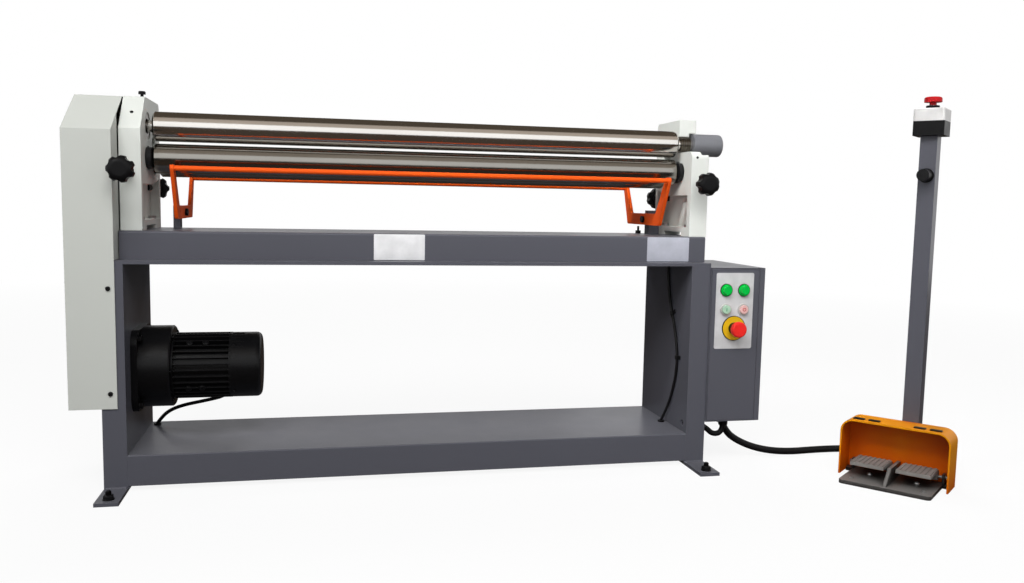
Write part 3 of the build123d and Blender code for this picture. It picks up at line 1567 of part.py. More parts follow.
with BuildPart() as stop_box_cover:
    with BuildSketch(pedal_plane.offset(stop_box_base_top)):
        with Locations(stop_post_point):
            RectangleRounded(stop_box, stop_box, stop_box_edge)
    extrude(amount=stop_box_cover_height)
    chamfer(stop_box_cover.faces().sort_by(Axis.Z)[-1].edges(), stop_box_wall)
    with BuildSketch(pedal_plane.offset(stop_box_base_top)):
        with Locations(stop_post_point):
            RectangleRounded(box_inside, box_inside, box_inside_r)
    extrude(amount=stop_box_cover_height - 2 * stop_box_wall, mode=Mode.SUBTRACT)
    with BuildSketch(pedal_plane.offset(stop_box_top)):
        with Locations(stop_post_point):
            Circle(stop_collar_r)
    extrude(amount=mushroom_lift)
    with BuildSketch(pedal_plane.offset(stop_box_base_top)):
        with Locations(stop_post_point):
            Circle(stem_bore_r)
    extrude(amount=post_collar_top - stop_box_base_top, mode=Mode.SUBTRACT)
save(stop_box_cover.part, "stop_box_cover")

post_stem = post_collar_top - stop_box_base_top
make_mushroom("post_estop", pedal_plane.offset(post_collar_top), stop_post_point, post_stem)

post_face = stop_post_y - stop_post_size / 2
with BuildPart() as post_gland:
    with BuildSketch(pedal_front_plane(post_face)):
        with Locations((stop_post_x, post_peg_z)):
            Circle(post_washer_r)
    extrude(amount=post_washer)
    with BuildSketch(pedal_front_plane(post_face - post_washer)):
        with Locations((stop_post_x, post_peg_z)):
            Circle(post_peg_r)
    extrude(amount=post_peg)
save(post_gland.part, "post_gland")

pedal_hose_end = pedal_plane.from_local_coords(
    Vector(pedal_gland_x, hood_depth + gland_length - gland_sink, pedal_gland_z)
)
pedal_hose_start = Vector(*pedal_hose_gland, cabinet_bottom - gland_length + gland_sink)
pedal_hose_route = [
    pedal_hose_start,
    (800, -102, 70),
    (830, -106, 46),
    (876, -110, 26),
    (930, -112, 14),
    (988, -113, hose_floor),
    (1050, -107, hose_floor),
    (1110, -105, hose_floor),
    (1165, -111, hose_floor),
    (1198, -140, 12),
    (1210, -182, 15),
    (1198, -224, 20),
    (1160, -256, 26),
    pedal_hose_end,
]
leg_hose_start = Vector(half_span + leg_wall + gland_length - gland_sink, leg_hose_y, leg_hose_z)
leg_hose_end = Vector(*leg_hose_gland, cabinet_bottom - gland_length + gland_sink)
leg_hose_route = [
    leg_hose_start,
    (706, leg_hose_y, 103),
    (732, leg_hose_y, 88),
    (752, leg_hose_y, 70),
    (778, leg_hose_y, 75.5),
    leg_hose_end,
]
motor_cable_start = Vector(*motor_cable_gland, terminal_box_bottom - gland_length + gland_sink)
motor_cable_end = Vector(*motor_grommet, shelf_top + grommet_thick)
motor_cable_route = [
    motor_cable_start,
    (-461, 92, 181),
    (-471, 92, 167),
    (-489, 92, 156),
    (-515, 93, 150),
    (-543, 95, 144),
    (-572, 98, 138),
    (-599, 103, 129.5),
    (-620, 109, 118),
    (-635.5, 116.5, 103),
    motor_cable_end,
]
leg_cable_route = [
    Vector(leg_cable_x, leg_cable_y, bed_bottom),
    (leg_cable_x, -13, 462),
    (leg_cable_x, -32, 405),
    (leg_cable_x, -64, 350),
    (leg_cable_x, -88, 296),
    (leg_cable_x, -92, 238),
    (leg_cable_x, -72, 182),
    (leg_cable_x, -44, 130),
    Vector(leg_grommet[0], leg_grommet[1], shelf_top + grommet_thick),
]


def bend_radii(route):
    """Largest bend radius that each corner of a route has room for."""
    radii = []
    for before, here, after in zip(route, route[1:], route[2:]):
        run_in = Vector(here) - Vector(before)
        run_out = Vector(after) - Vector(here)
        half_turn = radians(run_in.get_angle(run_out)) / 2
        radii.append(bend_share * min(run_in.length, run_out.length) / tan(half_turn))
    return radii


def make_cord(name, route, radius):
    """Round cord swept along straight runs joined by tangent bends."""
    radii = bend_radii(route)
    with BuildPart() as cord:
        with BuildLine() as path:
            FilletPolyline(*route, radius=radii)
        with BuildSketch(Plane(origin=path.line @ 0, z_dir=path.line % 0)):
            Circle(radius)
        sweep(path=path.line)
    length = sum(edge.length for edge in path.edges())
    print(name, f"length {length:.0f}", "bends", *[f"{radius_here:.0f}" for radius_here in radii])
    print(name, f"volume {cord.part.volume:.0f} of {pi * radius**2 * length:.0f}")
    save(cord.part, name)


make_cord("pedal_hose", pedal_hose_route, hose_r)
make_cord("leg_hose", leg_hose_route, leg_hose_r)
make_cord("motor_cable", motor_cable_route, motor_cable_r)
make_cord("leg_cable", leg_cable_route, leg_cable_r)

with BuildPart() as cable_glands:
    with BuildSketch(Plane.XY.offset(cabinet_bottom)):
        with Locations(pedal_hose_gland):
            RegularPolygon(gland_r, 6)
            Circle(hose_r, mode=Mode.SUBTRACT)
        with Locations(leg_hose_gland):
            RegularPolygon(gland_r - hose_r + leg_hose_r, 6)
            Circle(leg_hose_r, mode=Mode.SUBTRACT)
    extrude(amount=-gland_length)
    with BuildSketch(side_plane(half_span + leg_wall)):
        with Locations((leg_hose_y, leg_hose_z)):
            RegularPolygon(gland_r - hose_r + leg_hose_r, 6)
            Circle(leg_hose_r, mode=Mode.SUBTRACT)
    extrude(amount=gland_length)
    with BuildSketch(pedal_front_plane(hood_depth)):
        with Locations((pedal_gland_x, pedal_gland_z)):
            RegularPolygon(gland_r, 6)
            Circle(hose_r, mode=Mode.SUBTRACT)
    extrude(amount=-gland_length)
    with BuildSketch(Plane.XY.offset(terminal_box_bottom)):
        with Locations(motor_cable_gland):
            RegularPolygon(small_gland_r, 6)
            Circle(motor_cable_r, mode=Mode.SUBTRACT)
    extrude(amount=-gland_length)
    with BuildSketch(Plane.XY.offset(shelf_top)):
        with Locations(motor_grommet):
            Circle(grommet_r)
            Circle(motor_cable_r, mode=Mode.SUBTRACT)
        with Locations(leg_grommet):
            Circle(grommet_r)
            Circle(leg_cable_r, mode=Mode.SUBTRACT)
    extrude(amount=grommet_thick)
save(cable_glands.part, "cable_glands")

clip_runs = [leg_cable_route[2:4], leg_cable_route[4:6]]
with BuildPart() as cable_clips:
    for run_start, run_end in clip_runs:
        run = Vector(run_end) - Vector(run_start)
        middle = (Vector(run_start) + Vector(run_end)) / 2
        clip_plane = Plane(origin=middle - run.normalized() * clip_width / 2, x_dir=(1, 0, 0), z_dir=run)
        clip_r = leg_cable_r + clip_wall
        with BuildSketch(clip_plane):
            Circle(clip_r)
            with Locations((leg_cable_r - clip_wall / 2, 0)):
                Rectangle(clip_wall, 2 * (clip_r + clip_tail))
            with Locations((leg_cable_r + clip_r, 0)):
                Rectangle(2 * clip_r, 4 * clip_r, mode=Mode.SUBTRACT)
            Circle(leg_cable_r + running_gap, mode=Mode.SUBTRACT)
        extrude(amount=clip_width)
save(cable_clips.part, "cable_clips")
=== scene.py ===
"""Finishes, small fittings, cables, light and camera of the electric slip roll.

Metres, +Z up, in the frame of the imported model: +X runs along the rolls from the drive end to
the release end, and -Y is the operator's side.
"""

import logging
import math
from dataclasses import dataclass
from enum import Enum
from functools import cache
from typing import ClassVar, Sequence

import bmesh
import bpy
from mathutils import Matrix, Vector


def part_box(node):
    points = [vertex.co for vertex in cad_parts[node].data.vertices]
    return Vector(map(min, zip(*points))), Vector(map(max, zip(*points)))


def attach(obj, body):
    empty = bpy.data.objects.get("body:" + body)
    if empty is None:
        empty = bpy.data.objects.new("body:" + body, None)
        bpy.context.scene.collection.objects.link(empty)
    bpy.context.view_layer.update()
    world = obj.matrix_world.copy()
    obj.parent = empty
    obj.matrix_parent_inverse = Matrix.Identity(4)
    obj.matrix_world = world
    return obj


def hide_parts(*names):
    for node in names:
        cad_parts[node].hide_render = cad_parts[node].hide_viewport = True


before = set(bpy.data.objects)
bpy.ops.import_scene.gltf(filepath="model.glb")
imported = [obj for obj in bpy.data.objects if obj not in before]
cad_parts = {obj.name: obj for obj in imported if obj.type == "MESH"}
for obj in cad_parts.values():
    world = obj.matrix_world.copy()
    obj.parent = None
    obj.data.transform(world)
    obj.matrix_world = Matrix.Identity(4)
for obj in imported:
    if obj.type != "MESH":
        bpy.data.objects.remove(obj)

LOG = logging.getLogger("slip_roll")
MM = 0.001
STANDING = "frame"
SMOOTH_BELOW = math.radians(35.0)
NEARLY_ZERO = 1e-6

Colour = tuple[float, float, float]
Point = tuple[float, float, float]
Pair = tuple[float, float]
Sizes = tuple[float, ...]
Profile = Sequence[Sizes]
Socket = bpy.types.NodeSocket
Value = Socket | float | Colour | Point
Inputs = dict[str | int, Value]
Drawn = dict[str, Socket]
Layers = tuple[Socket, Socket, Socket]

FRONT: Point = (0.0, -1.0, 0.0)
BACK: Point = (0.0, 1.0, 0.0)
RIGHT: Point = (1.0, 0.0, 0.0)
UP: Point = (0.0, 0.0, 1.0)
DOWN: Point = (0.0, 0.0, -1.0)
WHITE: Colour = (1.0, 1.0, 1.0)
DUST_AND_SHEEN_GREY: Colour = (0.42, 0.41, 0.39)


class Slot(Enum):
    """Material slots of the record, named for the added pieces."""

    MACHINE = "machine_paint"
    STEEL = "plain_steel"
    MOTOR = "motor_black"
    BLACK = "black_plastic"
    PANEL = "panel_aluminium"
    WHITE = "cover_white"
    START = "start_white"
    STOP = "stop_white"
    RUBBER = "black_rubber"


class Lay(Enum):
    """Ways in which a cord lies."""

    LOOSE = "loose"
    HANGING = "hanging"


class Board:
    """Places and joins the nodes of one node tree."""

    def __init__(self, tree: bpy.types.NodeTree) -> None:
        """Start on an empty tree."""
        self.tree = tree
        tree.nodes.clear()

    def feed(self, socket: Socket, value: Value) -> None:
        """Join a socket to another one, or set its value; a colour is set as opaque.

        Args:
            socket: The socket to feed.
            value: Another socket, or the value.
        """
        if isinstance(value, Socket):
            self.tree.links.new(value, socket)
        elif socket.type == "RGBA":
            socket.default_value = (*value, 1.0)
        else:
            socket.default_value = value

    def put(self, kind: str, inputs: Inputs | None = None, **settings: object) -> bpy.types.Node:
        """Place one node.

        Args:
            kind: The node's type, without the words that all shader nodes start with.
            inputs: Values of its sockets, or the sockets that feed them.
            settings: The node's own properties.

        Returns:
            The node.
        """
        node = self.tree.nodes.new("ShaderNode" + kind)
        for key, setting in settings.items():
            setattr(node, key, setting)
        for key, value in (inputs or {}).items():
            self.feed(node.inputs[key], value)
        return node

    def place(self) -> Socket:
        """Return the point on the piece in its own metres."""
        return self.put("TexCoord").outputs["Object"]

    def stretched(self, scale: Point) -> Socket:
        """Return the point on the piece with each axis scaled by itself."""
        return self.put("Mapping", {"Vector": self.place(), "Scale": scale}).outputs["Vector"]

    def noise(self, scale: Value, detail: float, point: Socket | None = None) -> Socket:
        """Return noise from 0 to 1.

        Args:
            scale: Lumps in a metre.
            detail: Finer layers on top of the first.
            point: Where it is read; the point on the piece if left out.

        Returns:
            The value socket.
        """
        inputs = {"Vector": point or self.place(), "Scale": scale, "Detail": detail}
        return self.put("TexNoise", inputs).outputs["Fac"]

    def ramp(self, value: Value, low: float, high: float, start: float, end: float) -> Socket:
        """Return a value mapped from low..high to start..end, held at both ends."""
        names = ("Value", "From Min", "From Max", "To Min", "To Max")
        values = (value, low, high, start, end)
        return self.put("MapRange", dict(zip(names, values))).outputs["Result"]

    def calc(self, operation: str, *values: Value) -> Socket:
        """Return one arithmetic step on two or three values."""
        return self.put("Math", dict(enumerate(values)), operation=operation).outputs[0]

    def product(self, first: Socket, *others: Value) -> Socket:
        """Return several values multiplied."""
        for other in others:
            first = self.calc("MULTIPLY", first, other)
        return first

    def mix(self, share: Value, first: Value, second: Value) -> Socket:
        """Return the mix of two colours."""
        inputs = {0: share, 6: first, 7: second}
        return self.put("Mix", inputs, data_type="RGBA").outputs[2]

    def effect(self, effect: type["Effect"], inputs: Inputs) -> bpy.types.bpy_prop_collection:
        """Place a shared effect and return its outputs."""
        return self.put("Group", inputs, node_tree=effect.group()).outputs


class Effect(Board):
    """A shader node group that several finishes share, built once.

    The last word of a socket's name tells its kind.
    """

    name: ClassVar[str]
    takes: ClassVar[tuple[str, ...]]
    gives: ClassVar[tuple[str, ...]]
    kinds: ClassVar[dict[str, str]] = {"Colour": "NodeSocketColor", "Normal": "NodeSocketVector"}

    def __init__(self, tree: bpy.types.NodeTree) -> None:
        """Start on the group's tree, with the group's inputs at hand."""
        super().__init__(tree)
        self.given = tree.nodes.new("NodeGroupInput").outputs

    @classmethod
    @cache
    def group(cls) -> bpy.types.NodeTree:
        """Build the group on the first call.

        Returns:
            The group.
        """
        tree = bpy.data.node_groups.new(cls.name, "ShaderNodeTree")
        for side, labels in (("INPUT", cls.takes), ("OUTPUT", cls.gives)):
            for label in labels:
                kind = cls.kinds.get(label.split()[-1], "NodeSocketFloat")
                tree.interface.new_socket(label, in_out=side, socket_type=kind)
        effect = cls(tree)
        leave = tree.nodes.new("NodeGroupOutput")
        for label, socket in effect.draw().items():
            effect.feed(leave.inputs[label], socket)
        return tree

    def draw(self) -> Drawn:
        """Place the effect's nodes and return its outputs by name."""
        raise NotImplementedError


class Skin(Effect):
    """The outer layer of a material: what it does to the shade and the gloss, and its relief."""

    takes = ("Colour", "Roughness", "Relief Scale")
    gives = ("Colour", "Roughness", "Height")

    def draw(self) -> Drawn:
        """Tint the colour and the roughness by the skin's layers.

        Returns:
            The outputs by name.
        """
        shade, gloss, relief = self.layers()
        tint = self.put("HueSaturation", {"Value": shade, "Color": self.given["Colour"]})
        rough = self.product(self.given["Roughness"], gloss)
        return {"Colour": tint.outputs["Color"], "Roughness": rough, "Height": relief}

    def layers(self) -> Layers:
        """Return the shares of the shade and of the roughness, and the relief."""
        raise NotImplementedError


class EnamelFilm(Skin):
    """Sprayed enamel: slow drift of the shade, uneven gloss and a fine orange peel."""

    name = "enamel_film"
    takes = (*Skin.takes, "Mottle")

    def layers(self) -> Layers:
        """Place the nodes of the film.

        Returns:
            The shares of the shade and of the roughness, and the relief.
        """
        drift = self.calc("SUBTRACT", self.noise(3.5, 4.0), 0.5)
        shade = self.calc("MULTIPLY_ADD", drift, self.given["Mottle"], 1.0)
        gloss = self.ramp(self.noise(14.0, 5.0), 0.3, 0.7, 0.95, 1.06)
        return shade, gloss, self.noise(self.given["Relief Scale"], 2.0)


class CastSkin(Skin):
    """Sand-cast surface under paint: shallow lumps, pits and a speckled shade."""

    name = "cast_skin"

    def layers(self) -> Layers:
        """Place the nodes of the casting.

        Returns:
            The shares of the shade and of the roughness, and the relief.
        """
        lumps = self.noise(self.given["Relief Scale"], 5.0)
        shade = self.ramp(self.noise(6.0, 5.0), 0.25, 0.75, 0.93, 1.05)
        return shade, self.ramp(lumps, 0.3, 0.7, 0.85, 1.15), lumps


class TurnedLines(Skin):
    """Fine rings that turning and grinding leave round an axle along X, with a film of oil."""

    name = "turned_lines"

    def layers(self) -> Layers:
        """Place the nodes of the rings and the film.

        Returns:
            The shares of the shade and of the roughness, and the relief.
        """
        rings = self.noise(self.given["Relief Scale"], 3.0, self.stretched((1.0, 0.004, 0.004)))
        film = self.noise(7.0, 4.0, self.stretched((0.5, 3.0, 3.0)))
        shade = self.ramp(film, 0.3, 0.7, 0.93, 1.04)
        oiled = self.ramp(film, 0.35, 0.75, 0.0, 0.3)
        return shade, self.calc("ADD", self.ramp(rings, 0.3, 0.7, 0.75, 1.15), oiled), rings


class MouldedSkin(Skin):
    """Moulded plastic or rubber: a fine spark-eroded grain and slow changes of gloss."""

    name = "moulded_skin"

    def layers(self) -> Layers:
        """Place the nodes of the moulding.

        Returns:
            The shares of the shade and of the roughness, and the relief.
        """
        drift = self.noise(30.0, 4.0)
        shade = self.ramp(drift, 0.3, 0.7, 0.9, 1.1)
        gloss = self.ramp(drift, 0.3, 0.7, 0.88, 1.14)
        return shade, gloss, self.noise(self.given["Relief Scale"], 2.0)


class PaintedRecessShade(Effect):
    """Painted shade: a darker colour mixed in where a surface is shut in, as inside a hood or
    between ribs.
    """

    name = "painted_recess_shade"
    takes = ("Colour", "Deep Colour", "Reach")
    gives = ("Colour",)

    def draw(self) -> Drawn:
        """Mix in the painted shade colour where little of the sky is open.

        Returns:
            The outputs by name.
        """
        openness = self.put("AmbientOcclusion", {"Distance": self.given["Reach"]}).outputs["AO"]
        # Painted shade: the more shut in, the more of the shade colour.
        painted_shade_share = self.ramp(openness, 0.45, 0.92, 1.0, 0.0)
        return {"Colour": self.mix(painted_shade_share, self.given["Colour"], self.given["Deep Colour"])}


class EdgeWearAndPaintedLight(Effect):
    """Rounded edges: a softened normal, and a broken line of colour that is partly worn paint and
    partly painted edge light.
    """

    name = "edge_wear_and_painted_light"
    takes = ("Colour", "Rubbed Colour", "Width", "Amount")
    gives = ("Colour", "Normal")

    def draw(self) -> Drawn:
        """Find the edges by where the rounded normal leaves the flat one.

        Returns:
            The outputs by name.
        """
        given = self.given
        soft = self.put("Bevel", {"Radius": given["Width"]}, samples=4).outputs["Normal"]
        flat = self.put("NewGeometry").outputs["Normal"]
        agree = self.put("VectorMath", {0: soft, 1: flat}, operation="DOT_PRODUCT")
        edge = self.ramp(agree.outputs["Value"], 0.985, 0.86, 0.0, 1.0)
        broken = self.ramp(self.noise(60.0, 6.0), 0.42, 0.62, 0.1, 1.0)
        mask = self.product(edge, broken, given["Amount"])
        # The edge colour is worn paint and painted edge light together.
        return {"Colour": self.mix(mask, given["Colour"], given["Rubbed Colour"]), "Normal": soft}


class DustAndPaintedSheen(Effect):
    """Workshop dust on the faces that look up, thicker in patches; its paler colour also paints
    the sheen of light from above.
    """

    name = "dust_and_painted_sheen"
    takes = ("Colour", "Dust Colour", "Amount")
    gives = ("Colour", "Mask")

    def draw(self) -> Drawn:
        """Lay the dust and the painted sheen by how far a face looks up.

        Returns:
            The outputs by name.
        """
        given = self.given
        normal = self.put("NewGeometry").outputs["Normal"]
        rise = self.put("SeparateXYZ", {"Vector": normal}).outputs["Z"]
        level = self.ramp(rise, 0.55, 1.0, 0.0, 1.0)
        patches = self.ramp(self.noise(9.0, 6.0), 0.35, 0.75, 0.25, 1.0)
        # How far a face looks up sets both the dust and the painted sheen.
        mask = self.product(level, patches, given["Amount"])
        return {"Colour": self.mix(mask, given["Colour"], given["Dust Colour"]), "Mask": mask}


class ScuffMarks(Effect):
    """Short random scratches, as shoes and sheet metal leave them."""

    name = "scuff_marks"
    takes = ("Scale", "Amount")
    gives = ("Mask",)

    def draw(self) -> Drawn:
        """Cross two sets of scratches and keep them in patches.

        Returns:
            The outputs by name.
        """
        scratches = []
        for stretch in ((1.0, 0.06, 0.4), (0.07, 1.0, 0.4)):
            streaks = self.noise(self.given["Scale"], 1.0, self.stretched(stretch))
            scratches.append(self.ramp(streaks, 0.68, 0.74, 0.0, 1.0))
        patches = self.ramp(self.noise(11.0, 3.0), 0.45, 0.65, 0.0, 1.0)
        lines = self.calc("MAXIMUM", *scratches)
        return {"Mask": self.product(lines, patches, self.given["Amount"])}


def new_material(name: str) -> tuple[bpy.types.Material, Board]:
    """Start a material with no nodes.

    Args:
        name: The material's name.

    Returns:
        The material and its board.
    """
    material = bpy.data.materials.new(name)
    material.use_nodes = True
    return material, Board(material.node_tree)


@dataclass(frozen=True)
class Finish:
    """A finish that can make its material."""

    name: str
    colour: Colour

    def make(self) -> bpy.types.Material:
        """Return the material."""
        raise NotImplementedError


@dataclass(frozen=True)
class Surface(Finish):
    """A solid finish: a skin, painted shade where it is shut in, wear and painted light on its
    edges, with dust and painted sheen on it.
    """

    skin: ClassVar[type[Skin]]
    relief_depth: ClassVar[float]
    metal: ClassVar[float] = 0.0
    dulling: ClassVar[float] = 0.0
    scuff_scale: ClassVar[float] = 160.0

    roughness: float = 0.42
    relief_scale: float = 900.0
    relief: float = 0.06
    rubbed: Colour = (0.35, 0.35, 0.36)
    rub: float = 0.35
    edge: float = 0.0012
    deep: Colour | None = None
    reach: float = 0.12
    dust: float = 0.02
    scuffs: float = 0.0
    shine: float = 0.3

    def skin_values(self) -> Inputs:
        """Return what the skin takes, by the names of its inputs."""
        values = (self.colour, self.roughness, self.relief_scale)
        return dict(zip(Skin.takes, values))

    def make(self) -> bpy.types.Material:
        """Lay the finish on from its skin to its relief.

        Returns:
            The material.
        """
        material, board = new_material(self.name)
        skin = board.effect(self.skin, self.skin_values())
        tone, rough = skin["Colour"], skin["Roughness"]
        # Painted shade darkens the colour where the surface is shut in.
        if self.deep:
            painted_shade_inputs = {"Colour": tone, "Deep Colour": self.deep, "Reach": self.reach}
            tone = board.effect(PaintedRecessShade, painted_shade_inputs)["Colour"]
        # Edges get worn paint and a painted edge highlight together.
        edge_wear_and_light_inputs = {"Rubbed Colour": self.rubbed, "Width": self.edge, "Amount": self.rub}
        rub = board.effect(EdgeWearAndPaintedLight, {"Colour": tone, **edge_wear_and_light_inputs})
        tone = rub["Colour"]
        # Dust, which also paints a sheen on faces that look up.
        if self.dust:
            dust_and_sheen_inputs = {"Colour": tone, "Dust Colour": DUST_AND_SHEEN_GREY, "Amount": self.dust}
            dust = board.effect(DustAndPaintedSheen, dust_and_sheen_inputs)
            tone = dust["Colour"]
            rough = board.calc("MULTIPLY_ADD", dust["Mask"], self.dulling, rough)
        if self.scuffs:
            marks = board.effect(ScuffMarks, {"Scale": self.scuff_scale, "Amount": self.scuffs})
            tone = board.mix(marks["Mask"], tone, self.rubbed)
        relief = {"Height": skin["Height"], "Normal": rub["Normal"], "Strength": self.relief}
        bump = board.put("Bump", relief | {"Distance": self.relief_depth})
        inputs = {
            "Base Color": tone,
            "Roughness": rough,
            "Metallic": self.metal,
            "Specular IOR Level": self.shine,
            "Normal": bump.outputs["Normal"],
        }
        shader = board.put("BsdfPrincipled", inputs)
        board.put("OutputMaterial", {"Surface": shader.outputs["BSDF"]})
        return material


@dataclass(frozen=True)
class Casting(Surface):
    """Paint on a sand casting, which dust dulls."""

    skin: ClassVar[type[Skin]] = CastSkin
    relief_depth: ClassVar[float] = MM
    dulling: ClassVar[float] = 0.5


@dataclass(frozen=True)
class Enamel(Casting):
    """Enamel sprayed on sheet metal, smoother than on a casting."""

    skin: ClassVar[type[Skin]] = EnamelFilm
    mottle: float = 0.05

    def skin_values(self) -> Inputs:
        """Return what the film takes, by the names of its inputs."""
        return super().skin_values() | {"Mottle": self.mottle}


@dataclass(frozen=True)
class Steel(Surface):
    """Turned, ground or cut metal with its tool marks."""

    skin: ClassVar[type[Skin]] = TurnedLines
    relief_depth: ClassVar[float] = 0.2 * MM
    metal: ClassVar[float] = 1.0
    roughness: float = 0.25
    relief: float = 0.05
    rubbed: Colour = (0.75, 0.75, 0.74)
    rub: float = 0.3
    edge: float = 0.0005
    dust: float = 0.0
    shine: float = 0.5


@dataclass(frozen=True)
class Moulding(Surface):
    """Moulded plastic or rubber."""

    skin: ClassVar[type[Skin]] = MouldedSkin
    relief_depth: ClassVar[float] = 0.3 * MM
    roughness: float = 0.45
    relief_scale: float = 1800.0
    relief: float = 0.12
    rubbed: Colour = (0.12, 0.12, 0.12)
    rub: float = 0.25
    edge: float = 0.0006
    reach: float = 0.004
    dust: float = 0.0


@dataclass(frozen=True)
class Lens(Finish):
    """Ribbed lens of a pilot light, with a faint lamp behind it."""

    glow: float = 0.16
    rib_scale: float = 300.0
    rib_shade: float = 0.72
    rib_depth: float = 0.3 * MM
    relief: float = 0.25
    roughness: float = 0.2
    shine: float = 0.25

    def make(self) -> bpy.types.Material:
        """Draw the ribs in the colour, the glow and the relief.

        Returns:
            The material.
        """
        material, board = new_material(self.name)
        wave = {"Vector": board.place(), "Scale": self.rib_scale}
        ribs = board.put("TexWave", wave).outputs["Fac"]
        tone = board.mix(ribs, self.colour, tuple(self.rib_shade * part for part in self.colour))
        relief = {"Height": ribs, "Strength": self.relief, "Distance": self.rib_depth}
        inputs = {
            "Base Color": tone,
            "Emission Color": tone,
            "Emission Strength": self.glow,
            "Roughness": self.roughness,
            "Specular IOR Level": self.shine,
            "Normal": board.put("Bump", relief).outputs["Normal"],
        }
        shader = board.put("BsdfPrincipled", inputs)
        board.put("OutputMaterial", {"Surface": shader.outputs["BSDF"]})
        return material


# Dust and painted sheen lighten the faces that look up.
MACHINE_GREY = Enamel(
    "machine_grey", (0.088, 0.089, 0.107), roughness=0.3, rubbed=(0.2, 0.2, 0.22), rub=0.25,
    dust=0.1, shine=0.22,
)
SLEEVE_GREY = Enamel(
    "sleeve_grey", (0.16, 0.163, 0.178), roughness=0.34, rubbed=(0.3, 0.3, 0.32), rub=0.25,
    dust=0.04,
)
COVER_PALE = Enamel(
    "cover_pale", (0.53, 0.545, 0.51), roughness=0.5, rubbed=(0.62, 0.62, 0.59), rub=0.25,
    mottle=0.03,
)
GUARD_ORANGE = Enamel(
    "guard_orange", (0.86, 0.098, 0.008), roughness=0.36, rubbed=(0.9, 0.24, 0.08), rub=0.2,
    shine=0.15, mottle=0.04,
)
# Painted shade darkens the inside of the hood.
HOOD_YELLOW = Enamel(
    "hood_yellow", (0.70, 0.25, 0.003), rubbed=(0.82, 0.44, 0.03), rub=0.25,
    deep=(0.55, 0.088, 0.0006), dust=0.015, shine=0.12,
)
CASTING_PALE = Casting(
    "casting_pale", (0.70, 0.72, 0.68), roughness=0.46, relief_scale=260.0, relief=0.18,
    rubbed=(0.78, 0.78, 0.76), edge=0.002, dust=0.04,
)
MOTOR_BLACK = Casting(
    "motor_black", (0.0035, 0.0035, 0.004), roughness=0.32, relief_scale=420.0, relief=0.2,
    rubbed=(0.02, 0.02, 0.02), dust=0.01, shine=0.2,
)
# Painted shade darkens the base under the treadles, and its near-black edge colour paints shade
# along the edges.
PEDAL_IRON = Casting(
    "pedal_iron", (0.155, 0.147, 0.14), roughness=0.3, relief_scale=320.0, relief=0.25,
    rubbed=(0.015, 0.015, 0.016), rub=0.75, edge=0.004, deep=(0.014, 0.012, 0.011), reach=0.045,
    dust=0.1,
)
BLOCK_IRON = Casting(
    "block_iron", (0.012, 0.012, 0.013), roughness=0.4, relief_scale=320.0, relief=0.15,
    rubbed=(0.08, 0.08, 0.08), shine=0.2,
)
TOP_STEEL = Steel("top_roll_steel", (0.80, 0.775, 0.74), roughness=0.14)
LOWER_STEEL = Steel("lower_roll_steel", (0.34, 0.328, 0.302), roughness=0.17)
CUT_STEEL = Steel("cut_steel", (0.42, 0.42, 0.42), roughness=0.34)
DARK_STEEL = Steel(
    "dark_steel", (0.12, 0.105, 0.085), roughness=0.3, relief_scale=500.0, relief=0.12
)
BLACK_STEEL = Steel("black_steel", (0.022, 0.022, 0.024), roughness=0.4, rub=0.08)
# Painted shade darkens the grooves between the ribs.
TREADLE_GREY = Moulding(
    "treadle_grey", (0.215, 0.20, 0.187), roughness=0.5, rubbed=(0.42, 0.41, 0.4), rub=0.4,
    deep=(0.05, 0.045, 0.04), dust=0.06, scuffs=0.3,
)
BLACK_PLASTIC = Moulding(
    "black_plastic", (0.005, 0.005, 0.0055), roughness=0.36, rubbed=(0.03, 0.03, 0.03), dust=0.01,
    shine=0.15,
)
BLACK_RUBBER = Moulding(
    "black_rubber", (0.006, 0.006, 0.0065), roughness=0.44, relief_scale=900.0,
    rubbed=(0.03, 0.03, 0.03), dust=0.02, shine=0.2,
)
CONTROL_GREY = Moulding("control_grey", (0.30, 0.30, 0.29), rubbed=(0.4, 0.4, 0.4), dust=0.06)
PANEL_PALE = Moulding(
    "panel_pale", (0.56, 0.56, 0.565), roughness=0.42, relief=0.05, rubbed=(0.7, 0.7, 0.7),
    dust=0.01,
)
PLATE_SILVER = Moulding(
    "plate_silver", (0.42, 0.43, 0.49), roughness=0.38, relief=0.06, rubbed=(0.6, 0.6, 0.62)
)
LABEL_WHITE = Moulding(
    "label_white", (0.74, 0.74, 0.75), roughness=0.35, relief=0.03, rubbed=(0.8, 0.8, 0.8)
)
BOX_WHITE = Moulding(
    "box_white", (0.70, 0.69, 0.68), roughness=0.48, rubbed=(0.78, 0.78, 0.78), dust=0.01
)
BEZEL_GREY = Moulding(
    "bezel_grey", (0.46, 0.45, 0.43), roughness=0.3, relief=0.04, rubbed=(0.65, 0.65, 0.64)
)
START_PALE = Moulding(
    "start_pale", (0.40, 0.60, 0.45), roughness=0.25, relief=0.04, rubbed=(0.6, 0.75, 0.65)
)
STOP_PALE = Moulding(
    "stop_pale", (0.76, 0.47, 0.45), roughness=0.25, relief=0.04, rubbed=(0.82, 0.65, 0.63)
)
START_MARK = Moulding("start_mark", (0.02, 0.30, 0.09), roughness=0.3, rubbed=(0.1, 0.4, 0.2))
STOP_MARK = Moulding("stop_mark", (0.60, 0.03, 0.03), roughness=0.3, rubbed=(0.6, 0.2, 0.2))
SIGNAL_YELLOW = Moulding(
    "signal_yellow", (0.72, 0.43, 0.01), roughness=0.4, rubbed=(0.85, 0.65, 0.12), shine=0.2
)
SIGNAL_RED = Moulding(
    "signal_red", (0.74, 0.022, 0.018), roughness=0.32, relief=0.04, rubbed=(0.76, 0.06, 0.05),
    shine=0.2,
)
